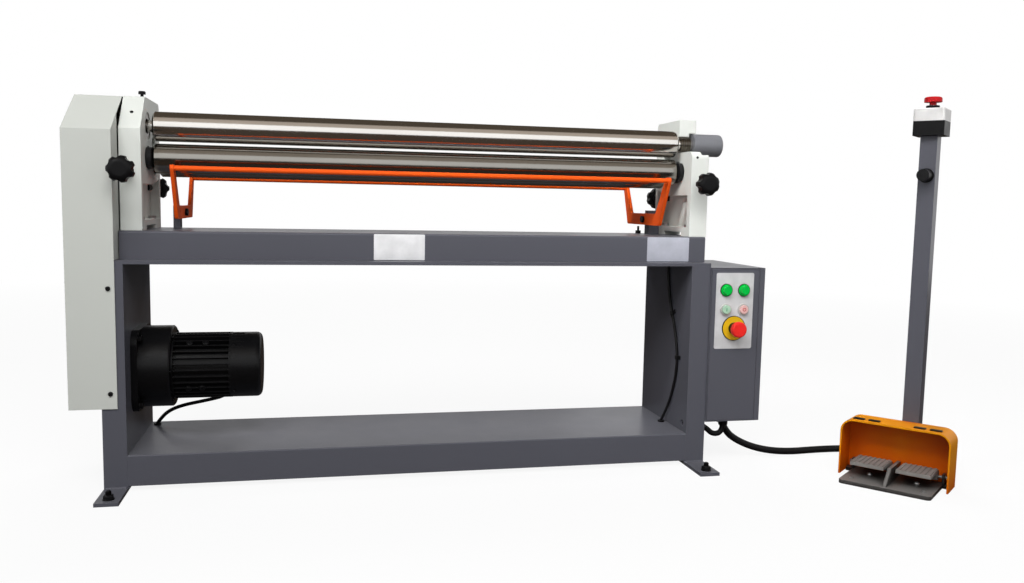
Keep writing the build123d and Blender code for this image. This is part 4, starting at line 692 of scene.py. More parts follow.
DEEP_RED = Moulding(
    "deep_red", (0.46, 0.012, 0.015), roughness=0.34, relief=0.04, rubbed=(0.5, 0.03, 0.03),
    shine=0.15,
)
GREEN_LENS = Lens("green_lens", (0.002, 0.47, 0.055))


@cache
def material_of(finish: Finish) -> bpy.types.Material:
    """Return a finish's material, made on the first call."""
    return finish.make()


def dress(finish: Finish, *nodes: str) -> None:
    """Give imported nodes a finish.

    Args:
        finish: The finish.
        nodes: Names of the nodes.
    """
    for node in nodes:
        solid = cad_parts[node]
        solid.material_slots[0].material = material_of(finish)
        LOG.info("dressed %s in %s", node, finish.name)


def new_object(name: str, data: bpy.types.ID, place: Matrix | None = None) -> bpy.types.Object:
    """Put an object into the scene.

    Args:
        name: The object's name.
        data: Its mesh, curve, lamp or camera.
        place: Where it goes, if not to the origin.

    Returns:
        The object.
    """
    made = bpy.data.objects.new(name, data)
    if place is not None:
        made.matrix_world = place
    bpy.context.scene.collection.objects.link(made)
    return made


def facing(origin: Sequence[float], out: Sequence[float]) -> Matrix:
    """Return a place whose Z axis points out of a face, with Y as far up as it can be.

    Args:
        origin: The place's origin.
        out: The direction out of the face.

    Returns:
        The matrix from the place to the machine.
    """
    z = Vector(out).normalized()
    x = Vector(UP).cross(z)
    if x.length < NEARLY_ZERO:
        x = Vector(RIGHT)
    x.normalize()
    turn = Matrix((x, z.cross(x), z)).transposed().to_4x4()
    return Matrix.Translation(origin) @ turn


def ring_points(count: int, radius: float, height: float, sides: int = 0) -> list[Vector]:
    """Return the points of one ring of a turned form, or the one point of a closed end.

    Args:
        count: Points round the ring.
        radius: Distance from the axis, to the corners where it has sides; 0 closes an end.
        height: Place along the axis.
        sides: How many flat sides it has, if it isn't round.

    Returns:
        The points.
    """
    if radius == 0.0:
        return [Vector((0.0, 0.0, height))]
    points = []
    for step in range(count):
        angle, reach = 2 * math.pi * step / count, radius
        if sides:
            half = math.pi / sides
            reach = radius * math.cos(half) / math.cos((angle + half) % (2 * half) - half)
        points.append(Vector((reach * math.cos(angle), reach * math.sin(angle), height)))
    return points


def scaled(form: Profile, size: float) -> Profile:
    """Return a turned form with its radii and heights scaled, and its sides as they are."""
    return [(size * radius, size * height, *sides) for radius, height, *sides in form]


def rounded(width: float, height: float, radius: float, steps: int = 5) -> list[Pair]:
    """Return the outline of a rectangle with round corners about its middle.

    Args:
        width: Along the first axis.
        height: Along the second axis.
        radius: Of the corners.
        steps: Runs in each corner.

    Returns:
        The corners, anticlockwise.
    """
    points = []
    for quarter, (sx, sy) in enumerate(((1, 1), (-1, 1), (-1, -1), (1, -1))):
        x, y = sx * (width / 2 - radius), sy * (height / 2 - radius)
        for step in range(steps + 1):
            angle = math.pi / 2 * (quarter + step / steps)
            points.append((x + radius * math.cos(angle), y + radius * math.sin(angle)))
    return points


class Mould:
    """Collects the closed forms of one piece in the machine's frame."""

    ripples: ClassVar[tuple[Pair, ...]] = ((0.16, 2.4), (0.07, 0.7))
    soft_edge: ClassVar[float] = 0.5 * MM
    soft_share: ClassVar[float] = 0.4

    def __init__(self) -> None:
        """Start with an empty mesh."""
        self.mesh = bmesh.new()

    def turned(self, place: Matrix, profile: Profile, count: int = 24) -> None:
        """Add a form turned about a place's Z axis.

        Args:
            place: The axis and its foot.
            profile: Radius, height and, where it isn't round, sides of each ring from the first
                end to the last.
            count: Points round each ring.
        """
        loops = []
        for row in profile:
            points = ring_points(count, *row)
            loops.append([self.mesh.verts.new(place @ point) for point in points])
        for low, high in zip(loops, loops[1:]):
            for step in range(max(len(low), len(high))):
                corners = [low[step % len(low)], low[(step + 1) % len(low)]]
                corners += [high[(step + 1) % len(high)], high[step % len(high)]]
                self.mesh.faces.new(list(dict.fromkeys(corners)))

    def prism(
        self, place: Matrix, outline: Sequence[Pair], height: float, edge: float = 0.0
    ) -> None:
        """Add an upright form on an outline, with its far rim rounded.

        Args:
            place: The plane of the outline.
            outline: Its corners, anticlockwise.
            height: How far it rises.
            edge: Radius of the far rim.
        """
        mesh = self.mesh
        base = mesh.faces.new([mesh.verts.new(place @ Vector((x, y, 0.0))) for x, y in outline])
        risen = bmesh.ops.extrude_face_region(mesh, geom=[base])["geom"]
        points = [item for item in risen if isinstance(item, bmesh.types.BMVert)]
        rise = place.to_3x3() @ Vector((0.0, 0.0, height))
        bmesh.ops.translate(mesh, verts=points, vec=rise)
        if edge:
            lid = next(item for item in risen if isinstance(item, bmesh.types.BMFace))
            rim = list(lid.edges)
            bmesh.ops.bevel(mesh, geom=rim, offset=edge, segments=3, profile=0.5, affect="EDGES")

    def bead(self, start: Vector, end: Vector, radius: float) -> None:
        """Add a weld bead with its ripples.

        Args:
            start: One end.
            end: The other end.
            radius: Its mean radius.
        """
        length = (end - start).length
        steps = max(4, round(length / radius))
        profile = [(0.0, 0.0)]
        for step in range(1, steps):
            swell = 1.0 + sum(size * math.sin(rate * step) for size, rate in self.ripples)
            profile.append((radius * swell, length * step / steps))
        self.turned(facing(start, end - start), [*profile, (0.0, length)], count=10)

    def rim(self, place: Matrix, inner: float, outer: float, height: float) -> None:
        """Add a ring with rounded edges.

        Args:
            place: Its middle, with Z out of the face that it stands on.
            inner: Inner radius.
            outer: Outer radius.
            height: How far it stands off the face.
        """
        soft = min(self.soft_edge, self.soft_share * (outer - inner))
        profile = [(inner, 0.0), (outer, 0.0), (outer, height - soft), (outer - soft, height)]
        profile += [(inner + soft, height), (inner, height - soft), (inner, 0.0)]
        self.turned(place, profile, count=40)

    def piece(self, name: str, slot: Slot, finish: Finish, body: str = STANDING) -> None:
        """Close the mesh and make the piece.

        Args:
            name: The piece's name.
            slot: The record's slot for it; not used.
            finish: Its finish.
            body: The body that it rides on.
        """
        bmesh.ops.recalc_face_normals(self.mesh, faces=self.mesh.faces[:])
        data = bpy.data.meshes.new(name)
        self.mesh.to_mesh(data)
        self.mesh.free()
        data.shade_smooth()
        data.set_sharp_from_angle(angle=SMOOTH_BELOW)
        data.materials.append(material_of(finish))
        made = new_object(name, data)
        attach(made, body)
        LOG.info("made %s on %s", name, body)


SOCKET_HEAD: Profile = (
    (0.0, 0.0), (1.75, 0.0), (1.8, 0.35), (1.55, 0.95), (1.1, 1.2), (0.72, 1.2, 6), (0.68, 0.4, 6),
    (0.0, 0.35),
)
WASHER: Profile = ((0.0, 0.0), (2.1, 0.0), (2.15, 0.21), (2.0, 0.35), (0.0, 0.35))
NUT: Profile = ((0.0, 0.35), (1.85, 0.35, 6), (1.85, 1.5, 6), (1.55, 1.7), (0.0, 1.7))
STUD_END: Profile = ((0.0, 0.35), (1.0, 0.35), (1.0, 3.0), (0.7, 3.3), (0.0, 3.3))


class Head(Enum):
    """Kinds of screw head, each with its forms in radii of the thread."""

    SOCKET = (SOCKET_HEAD,)
    HEX = (WASHER, NUT)
    STUD = (WASHER, NUT, STUD_END)


@dataclass(frozen=True)
class Screw:
    """A screw of a given thread radius, seen from its head."""

    radius: float
    head: Head = Head.SOCKET

    def add(self, mould: Mould, place: Matrix) -> None:
        """Add the head, and the washer or nut under it, to a piece.

        Args:
            mould: The piece.
            place: Where it sits, with Z out of the face.
        """
        for form in self.head.value:
            mould.turned(place, scaled(form, self.radius))


@dataclass
class Stand:
    """Legs, shelf, top plate and bed, with their welds, anchors and bare plates."""

    foot_top: float = 8.0 * MM
    anchor: Screw = Screw(6.0 * MM, Head.STUD)
    anchor_x: float = 0.690
    anchor_y: float = 0.230
    weld_radius: float = 0.0032
    weld_y: float = 0.157
    plate_left: Pair = (-0.121, -0.001)
    plate_right: Pair = (0.559, 0.671)
    plate_margin: float = 0.0015
    plate_corner: float = 2.0 * MM
    plate_thick: float = 0.0005
    plate_edge: float = 0.2 * MM

    def build(self) -> None:
        """Dress the stand and add its fittings."""
        dress(MACHINE_GREY, "left_leg", "right_leg", "bottom_shelf", "top_plate", "bed_beam")
        self.anchors()
        self.welds()
        self.bare_plate("white_bed_plate", self.plate_left, Slot.WHITE, LABEL_WHITE)
        self.bare_plate("steel_bed_plate", self.plate_right, Slot.PANEL, PLATE_SILVER)

    def anchors(self) -> None:
        """Set a stud, washer and nut in each anchor hole."""
        mould = Mould()
        for x in (-self.anchor_x, self.anchor_x):
            for y in (-self.anchor_y, self.anchor_y):
                self.anchor.add(mould, facing((x, y, self.foot_top), UP))
        mould.piece("anchor_studs", Slot.STEEL, BLACK_STEEL)

    def welds(self) -> None:
        """Run a bead round the foot of each leg."""
        mould = Mould()
        left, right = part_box("left_leg"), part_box("right_leg")
        for inner, outer in ((left[1].x, left[0].x), (right[0].x, right[1].x)):
            near_in, near_out, far_in, far_out = (
                Vector((x, y, self.foot_top))
                for y in (-self.weld_y, self.weld_y)
                for x in (inner, outer)
            )
            for start, end in ((near_in, near_out), (far_in, far_out), (near_in, far_in)):
                mould.bead(start, end, self.weld_radius)
        mould.piece("foot_welds", Slot.MACHINE, MACHINE_GREY)

    def bare_plate(self, name: str, span: Pair, slot: Slot, finish: Finish) -> None:
        """Fix a plate with nothing on it to the front of the bed.

        Args:
            name: The piece's name.
            span: Its left and right ends.
            slot: The record's slot for it.
            finish: Its finish.
        """
        low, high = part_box("bed_beam")
        middle = (sum(span) / 2, low.y, (low.z + high.z) / 2)
        height = high.z - low.z - 2 * self.plate_margin
        outline = rounded(span[1] - span[0], height, self.plate_corner)
        mould = Mould()
        mould.prism(facing(middle, FRONT), outline, self.plate_thick, self.plate_edge)
        mould.piece(name, slot, finish)


@dataclass
class Housings:
    """The two cast housings, their bolts, the oil cup and the oilers pressed into them, whose
    black is painted hole shade.
    """

    slant_oiler: tuple[Point, Point] = ((-0.6565, -0.0665, 0.845), (0.0, -0.076, 0.063))
    jaw_oiler: tuple[Point, Point] = ((0.6935, -0.098, 0.782), FRONT)
    oiler_flanges: Pair = (4.0 * MM, 3.2 * MM)
    flange_edge: float = 0.4 * MM
    oiler_rise: float = 0.6 * MM
    stem: float = 2.4 * MM
    stem_foot: float = -8.0 * MM
    ball: float = 1.3 * MM
    ball_seat: float = -0.4 * MM
    ball_shoulder: float = 0.3 * MM
    ball_top: float = 0.45 * MM

    def build(self) -> None:
        """Dress the housings and press in the oilers."""
        dress(CASTING_PALE, "left_housing", "right_housing")
        dress(CUT_STEEL, "housing_bolts")
        dress(BLACK_PLASTIC, "oil_cup")
        dress(BLOCK_IRON, "lower_roll_blocks", "rear_roll_blocks")
        # Painted shade: the black oilers darken the drilled oil holes.
        mould = Mould()
        for hole, flange in zip((self.slant_oiler, self.jaw_oiler), self.oiler_flanges):
            mould.turned(facing(*hole), self.oiler(flange), count=28)
        mould.piece("housing_oilers_and_hole_shade", Slot.STEEL, BLACK_STEEL)

    def oiler(self, flange: float) -> Profile:
        """Return the form of a flanged oiler with its ball, from its stem up.

        Args:
            flange: Radius of its flange.

        Returns:
            The profile, with the mouth of the drilled hole at 0.
        """
        stem, rise, ball = self.stem, self.oiler_rise, self.ball
        return (
            (0.0, self.stem_foot),
            (stem, self.stem_foot),
            (stem, 0.0),
            (flange, 0.0),
            (flange, 0.6 * rise),
            (flange - self.flange_edge, rise),
            (1.2 * ball, rise),
            (ball, self.ball_seat),
            (0.6 * ball, self.ball_shoulder),
            (0.0, self.ball_top),
        )


@dataclass
class DriveCover:
    """Tall sheet-metal cover over the chain, held by black screws."""

    screw: Screw = Screw(3.0 * MM)
    screw_x: float = -0.6955
    screw_heights: Pair = (0.223, 0.456)

    def build(self) -> None:
        """Dress the cover and add its screws."""
        dress(COVER_PALE, "drive_cover")
        low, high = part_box("drive_cover")
        mould = Mould()
        for z in self.screw_heights:
            for y, out in ((low.y, FRONT), (high.y, BACK)):
                self.screw.add(mould, facing((self.screw_x, y, z), out))
        mould.piece("cover_screws", Slot.BLACK, BLACK_STEEL)


@dataclass
class MotorDrive:
    """Gear motor under the drive end and the chain drive behind the cover.

    Angles are in degrees round the motor's axis, from the back of the machine over the top. The
    form of a plug is in millimetres.
    """

    corner_angles: Sizes = (45.0, 135.0, 225.0, 315.0)
    flange_bolt: Screw = Screw(5.0 * MM, Head.HEX)
    flange_bolt_ring: float = 0.109
    flange_face: float = -0.651
    gearbox_screw: Screw = Screw(2.6 * MM)
    gearbox_screw_ring: float = 0.0855
    gearbox_angles: Sizes = (0.0, 60.0, 120.0, 180.0, 240.0, 300.0)
    cowl_screw: Screw = Screw(2.2 * MM)
    cowl_screw_inset: float = 8.0 * MM
    plugs: tuple[Pair, ...] = (
        (-0.5434, 129.0), (-0.5077, 129.0), (-0.5454, 215.0), (-0.5152, 214.0)
    )
    plug_sink: float = 3.0 * MM
    plug_form: Profile = (
        (0.0, 0.0), (7.5, 0.0), (7.5, 4.6), (6.0, 6.0), (3.15, 6.2), (3.0, 4.5, 6), (0.0, 4.4)
    )
    rib_angles: Sizes = (98.0, 108.0, 118.0, 128.0, 138.0)
    rib_length: float = 0.027
    rib_width: float = 3.0 * MM
    rib_corner: float = 1.0 * MM
    rib_height: float = 1.9 * MM
    rib_edge: float = 0.8 * MM
    rib_inset: float = 2.0 * MM
    rib_sink: float = 0.4 * MM

    def __post_init__(self) -> None:
        """Take the motor's axis and size from its fan cowl."""
        low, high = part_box("fan_cowl")
        self.axis = Vector((0.0, (low.y + high.y) / 2, (low.z + high.z) / 2))
        self.radius = (high.y - low.y) / 2
        self.cowl_left = low.x

    def build(self) -> None:
        """Dress the motor and the drive, and add the screws, plugs and ribs."""
        dress(MOTOR_BLACK, "gearbox", "motor_body", "fan_cowl")
        dress(BLACK_PLASTIC, "motor_fan")
        dress(DARK_STEEL, "top_drive_gear", "lower_roll_gear")
        dress(CUT_STEEL, "driven_sprocket", "drive_sprocket", "drive_chain")
        self.cowl_screws()
        self.gearbox_bolts()
        self.motor_plugs()
        self.cowl_ribs()

    def around(self, x: float, ring: float, angle: float) -> tuple[Vector, Vector]:
        """Return a point on a ring round the motor's axis, and the way out from it.

        Args:
            x: Place along the axis.
            ring: Radius of the ring.
            angle: Place round the axis.

        Returns:
            The point and the direction.
        """
        turn = math.radians(angle)
        out = Vector((0.0, math.cos(turn), math.sin(turn)))
        return self.axis + ring * out + Vector((x, 0.0, 0.0)), out

    def cowl_screws(self) -> None:
        """Put the screws that hold the fan cowl round its open end."""
        mould = Mould()
        for angle in self.corner_angles:
            spot = self.around(self.cowl_left + self.cowl_screw_inset, self.radius, angle)
            self.cowl_screw.add(mould, facing(*spot))
        mould.piece("cowl_screws", Slot.MOTOR, BLACK_STEEL)

    def gearbox_bolts(self) -> None:
        """Bolt the gearbox to the leg, and its halves to each other."""
        mould = Mould()
        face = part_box("gearbox")[1].x
        halves = (self.gearbox_screw, face, self.gearbox_screw_ring, self.gearbox_angles)
        flange = (self.flange_bolt, self.flange_face, self.flange_bolt_ring, self.corner_angles)
        for screw, x, ring, angles in (halves, flange):
            for angle in angles:
                screw.add(mould, facing(self.around(x, ring, angle)[0], RIGHT))
        mould.piece("gearbox_bolts", Slot.MOTOR, BLACK_STEEL)

    def motor_plugs(self) -> None:
        """Set the round plugs between the fins on the operator's side."""
        mould = Mould()
        for x, angle in self.plugs:
            spot = self.around(x, self.radius - self.plug_sink, angle)
            mould.turned(facing(*spot), scaled(self.plug_form, MM), count=30)
        mould.piece("motor_plugs", Slot.MOTOR, MOTOR_BLACK)

    def cowl_ribs(self) -> None:
        """Carry a few fins on over the edge of the fan cowl."""
        mould = Mould()
        middle = self.cowl_left + self.rib_inset + self.rib_length / 2
        outline = rounded(self.rib_length, self.rib_width, self.rib_corner)
        for angle in self.rib_angles:
            spot = self.around(middle, self.radius - self.rib_sink, angle)
            mould.prism(facing(*spot), outline, self.rib_height, self.rib_edge)
        mould.piece("cowl_ribs", Slot.MOTOR, MOTOR_BLACK)


@dataclass
class RollSet:
    """The three rolls, the bush in the open jaw and the release sleeve."""

    def build(self) -> None:
        """Dress the rolls."""
        dress(TOP_STEEL, "top_roll")
        dress(LOWER_STEEL, "lower_roll", "rear_roll")
        dress(DARK_STEEL, "top_roll_bush")
        dress(SLEEVE_GREY, "release_sleeve")


@dataclass
class Knobs:
    """Lobed knobs that set the lower and the rear roll."""

    def build(self) -> None:
        """Dress the knobs."""
        dress(BLACK_PLASTIC, "front_left_knob", "front_right_knob")
        dress(BLACK_PLASTIC, "rear_left_knob", "rear_right_knob")


@dataclass
class TripFrame:
    """Orange frame that stops the machine, its posts, pivot bolts and switch."""

    def build(self) -> None:
        """Dress the frame."""
        dress(GUARD_ORANGE, "trip_frame")
        dress(MACHINE_GREY, "trip_posts")
        dress(BLACK_STEEL, "trip_pivot_bolts")
        dress(BLACK_PLASTIC, "trip_switch")


@dataclass
class Cabinet:
    """Control cabinet on the right leg, with its panel and controls.

    A rim is given by its inner radius, outer radius and height, the bar by its width, height and
    corner radius, and the circle by its inner and outer radius.
    """

    light_points: tuple[Pair, ...] = ((0.756, 0.450), (0.804, 0.450))
    light_rim: Sizes = (14.9 * MM, 16.2 * MM, 3.4 * MM)
    start_point: Pair = (0.756, 0.401)
    start_bar: Sizes = (2.0 * MM, 9.0 * MM, 0.6 * MM)
    stop_point: Pair = (0.804, 0.401)
    stop_circle: Pair = (3.0 * MM, 4.5 * MM)
    estop_point: Pair = (0.780, 0.353)
    estop_rim: Sizes = (30.05 * MM, 31.6 * MM, 3.4 * MM)
    estop_sleeve: Sizes = (14.03 * MM, 15.2 * MM, 13.8 * MM)
    mark_height: float = 0.0003
    mark_edge: float = 0.1 * MM

    def build(self) -> None:
        """Dress the cabinet and add the rims and marks of its controls."""
        dress(MACHINE_GREY, "cabinet_box", "cabinet_door")
        dress(CONTROL_GREY, "control_gear")
        dress(PANEL_PALE, "control_panel")
        dress(GREEN_LENS, "pilot_lights")
        dress(BEZEL_GREY, "button_bezels")
        dress(SIGNAL_YELLOW, "estop_ring")
        dress(START_PALE, "start_button")
        dress(STOP_PALE, "stop_button")
        dress(SIGNAL_RED, "panel_estop")
        self.rims()
        self.marks()

    @staticmethod
    def spot(point: Pair, node: str) -> Matrix:
        """Return a place on the front of a node, with Z towards the operator."""
        return facing((point[0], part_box(node)[0].y, point[1]), FRONT)

    def rims(self) -> None:
        """Put dark rims round the lights and the ring, and a sleeve on the stop's collar."""
        mould = Mould()
        for point in self.light_points:
            mould.rim(self.spot(point, "control_panel"), *self.light_rim)
        mould.rim(self.spot(self.estop_point, "control_panel"), *self.estop_rim)
        mould.rim(self.spot(self.estop_point, "estop_ring"), *self.estop_sleeve)
        mould.piece("control_rims", Slot.BLACK, BLACK_PLASTIC, "cabinet_door")

    def marks(self) -> None:
        """Put the plain bar and circle of a switch on the two buttons."""
        bar, circle = Mould(), Mould()
        height, (inner, outer) = self.mark_height, self.stop_circle
        place = self.spot(self.start_point, "start_button")
        bar.prism(place, rounded(*self.start_bar), height, self.mark_edge)
        bar.piece("start_bar", Slot.START, START_MARK, "start_button")
        profile = ((inner, 0.0), (outer, 0.0), (outer, height), (inner, height), (inner, 0.0))
        circle.turned(self.spot(self.stop_point, "start_button"), profile, count=32)
        circle.piece("stop_circle", Slot.STOP, STOP_MARK, "stop_button")


@dataclass
class FootControl:
    """Pedal unit on the floor, its hood, and the stop button on a post.

    The two parts of a hood plug are given by their width, depth and corner radius, and the sleeve
    by its inner and outer radius.
    """

    origin: Pair = (1.100, -0.383)
    angle: float = -50.0
    base_top: float = 0.009
    corner_screw: Screw = Screw(2.5 * MM)
    corner_spots: tuple[Pair, ...] = ((-0.082, -0.040), (0.082, -0.040))
    tread_screw: Screw = Screw(4.0 * MM)
    tread_spots: tuple[Pair, ...] = ((-0.054, 0.016), (0.054, 0.016))
    slot_spots: Sizes = (-0.088, -0.052, 0.052, 0.088)
    slot_depth: float = 0.020
    plug_stem: Sizes = (23.6 * MM, 11.6 * MM, 2.0 * MM)
    stem_sink: float = 4.0 * MM
    stem_height: float = 3.9 * MM
    plug_head: Sizes = (27.0 * MM, 15.0 * MM, 4.0 * MM)
    head_height: float = 2.4 * MM
    head_edge: float = 1.0 * MM
    post_spot: Pair = (0.018, 0.093)
    collar: float = 0.008
    sleeve: Pair = (14.03 * MM, 15.2 * MM)
    sleeve_gap: float = 0.2 * MM

    def place(self, x: float, y: float, z: float) -> Matrix:
        """Return a level place at a point of the unit's own frame."""
        turn = Matrix.Rotation(math.radians(self.angle), 4, "Z")
        return Matrix.Translation((*self.origin, 0.0)) @ turn @ Matrix.Translation((x, y, z))

    def build(self) -> None:
        """Dress the unit and add its screws, hood plugs and the sleeve of its stop button."""
        dress(PEDAL_IRON, "pedal_base")
        dress(CUT_STEEL, "pedal_pin")
        dress(HOOD_YELLOW, "pedal_hood")
        dress(TREADLE_GREY, "left_pedal", "right_pedal")
        dress(MACHINE_GREY, "stop_post")
        dress(BLACK_PLASTIC, "stop_box_base")
        dress(BOX_WHITE, "stop_box_cover")
        dress(DEEP_RED, "post_estop")
        dress(BLACK_RUBBER, "post_gland")
        self.base_screws()
        self.hood_plugs()
        self.stop_sleeve()

    def base_screws(self) -> None:
        """Put the bright screws in front of the treadles and under them."""
        mould = Mould()
        corners = (self.corner_screw, self.corner_spots)
        for screw, spots in (corners, (self.tread_screw, self.tread_spots)):
            for spot in spots:
                screw.add(mould, self.place(*spot, self.base_top))
        mould.piece("base_screws", Slot.STEEL, CUT_STEEL)

    def hood_plugs(self) -> None:
        """Close the four openings in the top of the hood with black plugs."""
        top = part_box("pedal_hood")[1].z
        mould = Mould()
        for x in self.slot_spots:
            stem = self.place(x, self.slot_depth, top - self.stem_sink)
            mould.prism(stem, rounded(*self.plug_stem), self.stem_height)
            head = self.place(x, self.slot_depth, top)
            mould.prism(head, rounded(*self.plug_head), self.head_height, self.head_edge)
        mould.piece("hood_plugs", Slot.BLACK, BLACK_PLASTIC)

    def stop_sleeve(self) -> None:
        """Put a black sleeve round the collar of the stop button on the post."""
        foot = self.place(*self.post_spot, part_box("stop_box_cover")[1].z - self.collar)
        mould = Mould()
        mould.rim(foot, *self.sleeve, self.collar - self.sleeve_gap)
        mould.piece("post_stop_sleeve", Slot.BLACK, BLACK_PLASTIC)


@dataclass(frozen=True)
class CordPlan:
    """One hose or cable: the node that it stands for, its size and its route in millimetres."""

    node: str
    radius: float
    length: float
    lay: Lay
    route: tuple[Point, ...]

    def build(self) -> None:
        curve = bpy.data.curves.new(self.node + "_line", "CURVE")
        curve.dimensions = "3D"
        curve.bevel_depth = self.radius
        curve.bevel_resolution = 6
        curve.resolution_u = 16
        curve.use_fill_caps = True
        spline = curve.splines.new("NURBS")
        spline.points.add(len(self.route) - 1)
        for knot, point in zip(spline.points, self.route):
            knot.co = (*(MM * part for part in point), 1.0)
        spline.order_u = 3
        spline.use_endpoint_u = True
        curve.materials.append(material_of(BLACK_RUBBER))
        cord = new_object(self.node + "_cord", curve)
        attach(cord, STANDING)
        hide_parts(self.node)
        LOG.info("laid %s", cord.name)


PEDAL_HOSE = CordPlan("pedal_hose", 0.009, 0.635, Lay.LOOSE, (
    (786, -99, 102), (800, -102, 70), (830, -106, 46), (876, -110, 26), (930, -112, 14),
    (988, -113, 10), (1050, -107, 10), (1110, -105, 10), (1165, -111, 10), (1198, -140, 12),
    (1210, -182, 15), (1198, -224, 20), (1160, -256, 26), (1125.8, -283, 28),
))
LEG_HOSE = CordPlan("leg_hose", 0.007, 0.131, Lay.HANGING, (
    (679, -130, 104), (706, -130, 103), (732, -130, 88), (752, -130, 70), (778, -130, 75.5),
    (779, -130, 102),
))
MOTOR_CABLE = CordPlan("motor_cable", 0.0045, 0.237, Lay.HANGING, (
    (-458, 92, 196.025), (-461, 92, 181), (-471, 92, 167), (-489, 92, 156), (-515, 93, 150),
    (-543, 95, 144), (-572, 98, 138), (-599, 103, 129.5), (-620, 109, 118), (-635.5, 116.5, 103),
    (-648, 124, 86),
))
LEG_CABLE = CordPlan("leg_cable", 0.0035, 0.461, Lay.HANGING, (
    (661.5, -12, 517), (661.5, -13, 462), (661.5, -32, 405), (661.5, -64, 350), (661.5, -88, 296),
    (661.5, -92, 238), (661.5, -72, 182), (661.5, -44, 130), (650, -26, 86),
))


@dataclass
class Cords:
    """The hoses and cables, with their glands and clips."""

    plans: tuple[CordPlan, ...] = (PEDAL_HOSE, LEG_HOSE, MOTOR_CABLE, LEG_CABLE)

    def build(self) -> None:
        """Lay the cords and dress their glands and clips."""
        dress(BLACK_PLASTIC, "cable_glands", "cable_clips")
        for plan in self.plans:
            plan.build()


@dataclass
class PhotoCamera:
    """Camera at the photograph's standpoint."""

    standpoint: Point = (-0.2472, -2.2113, 0.6572)
    yaw: float = 12.4
    pitch: float = -5.7
    roll: float = 1.1
    focal_pixels: float = 882.5
    image_width: int = 1024
    sensor: float = 36.0
    clip_end: float = 60.0

    def build(self) -> None:
        """Create the camera and make it the scene's own."""
        yaw, pitch, roll = (math.radians(angle) for angle in (self.yaw, self.pitch, self.roll))
        level = math.cos(pitch)
        ahead = Vector((math.sin(yaw) * level, math.cos(yaw) * level, math.sin(pitch)))
        right = Vector((math.cos(yaw), -math.sin(yaw), 0.0))
        up = right.cross(ahead)
        across = math.cos(roll) * right + math.sin(roll) * up
        upward = math.cos(roll) * up - math.sin(roll) * right
        data = bpy.data.cameras.new("photo_camera")
        data.sensor_fit = "HORIZONTAL"
        data.sensor_width = self.sensor
        data.lens = self.sensor * self.focal_pixels / self.image_width
        data.clip_end = self.clip_end
        turn = Matrix((across, upward, -ahead)).transposed().to_4x4()
        place = Matrix.Translation(self.standpoint) @ turn
        bpy.context.scene.camera = new_object("photo_camera", data, place)


def stage_sheet(
    name: str, size: Pair, place: Matrix, material: bpy.types.Material
) -> bpy.types.Object:
    """Set up a flat rectangle that belongs to the studio.

    Args:
        name: Its name.
        size: Its width and height.
        place: Its middle, with Z out of its face.
        material: Its material.

    Returns:
        The rectangle.
    """
    x, y = size[0] / 2, size[1] / 2
    data = bpy.data.meshes.new(name)
    corners = [(-x, -y, 0.0), (x, -y, 0.0), (x, y, 0.0), (-x, y, 0.0)]
    data.from_pydata(corners, [], [(0, 1, 2, 3)])
    data.materials.append(material)
    sheet = new_object(name, data, place)
    return sheet


@dataclass(frozen=True)
class Lamp:
    """A soft lamp: where it hangs, what it points at, its size, power and beam in degrees."""

    name: str
    place: Point
    target: Point
    size: Pair
    watts: float
    spread: float = 180.0

    def build(self) -> None:
        """Hang the lamp, hidden from mirrors."""
        data = bpy.data.lights.new(self.name, "AREA")
        data.shape = "RECTANGLE"
        data.size, data.size_y = self.size
        data.energy = self.watts
        data.spread = math.radians(self.spread)
        aim = facing(self.place, Vector(self.place) - Vector(self.target))
        new_object(self.name, data, aim).visible_glossy = False


@dataclass(frozen=True)
class Card:
    """A card that shows only in mirrors: its middle, the way it faces, its size and its glow."""

    name: str
    place: Point
    out: Point
    size: Pair
    colour: Colour
    strength: float = 1.0

    def build(self) -> None:
        """Set up the card, hidden from everything but mirrors."""
        material, board = new_material(self.name)
        glow = board.put("Emission", {"Color": self.colour, "Strength": self.strength})
        board.put("OutputMaterial", {"Surface": glow.outputs[0]})
        card = stage_sheet(self.name, self.size, facing(self.place, self.out), material)
        card.visible_camera = False
        card.visible_diffuse = False
        card.visible_shadow = False
        card.visible_transmission = False


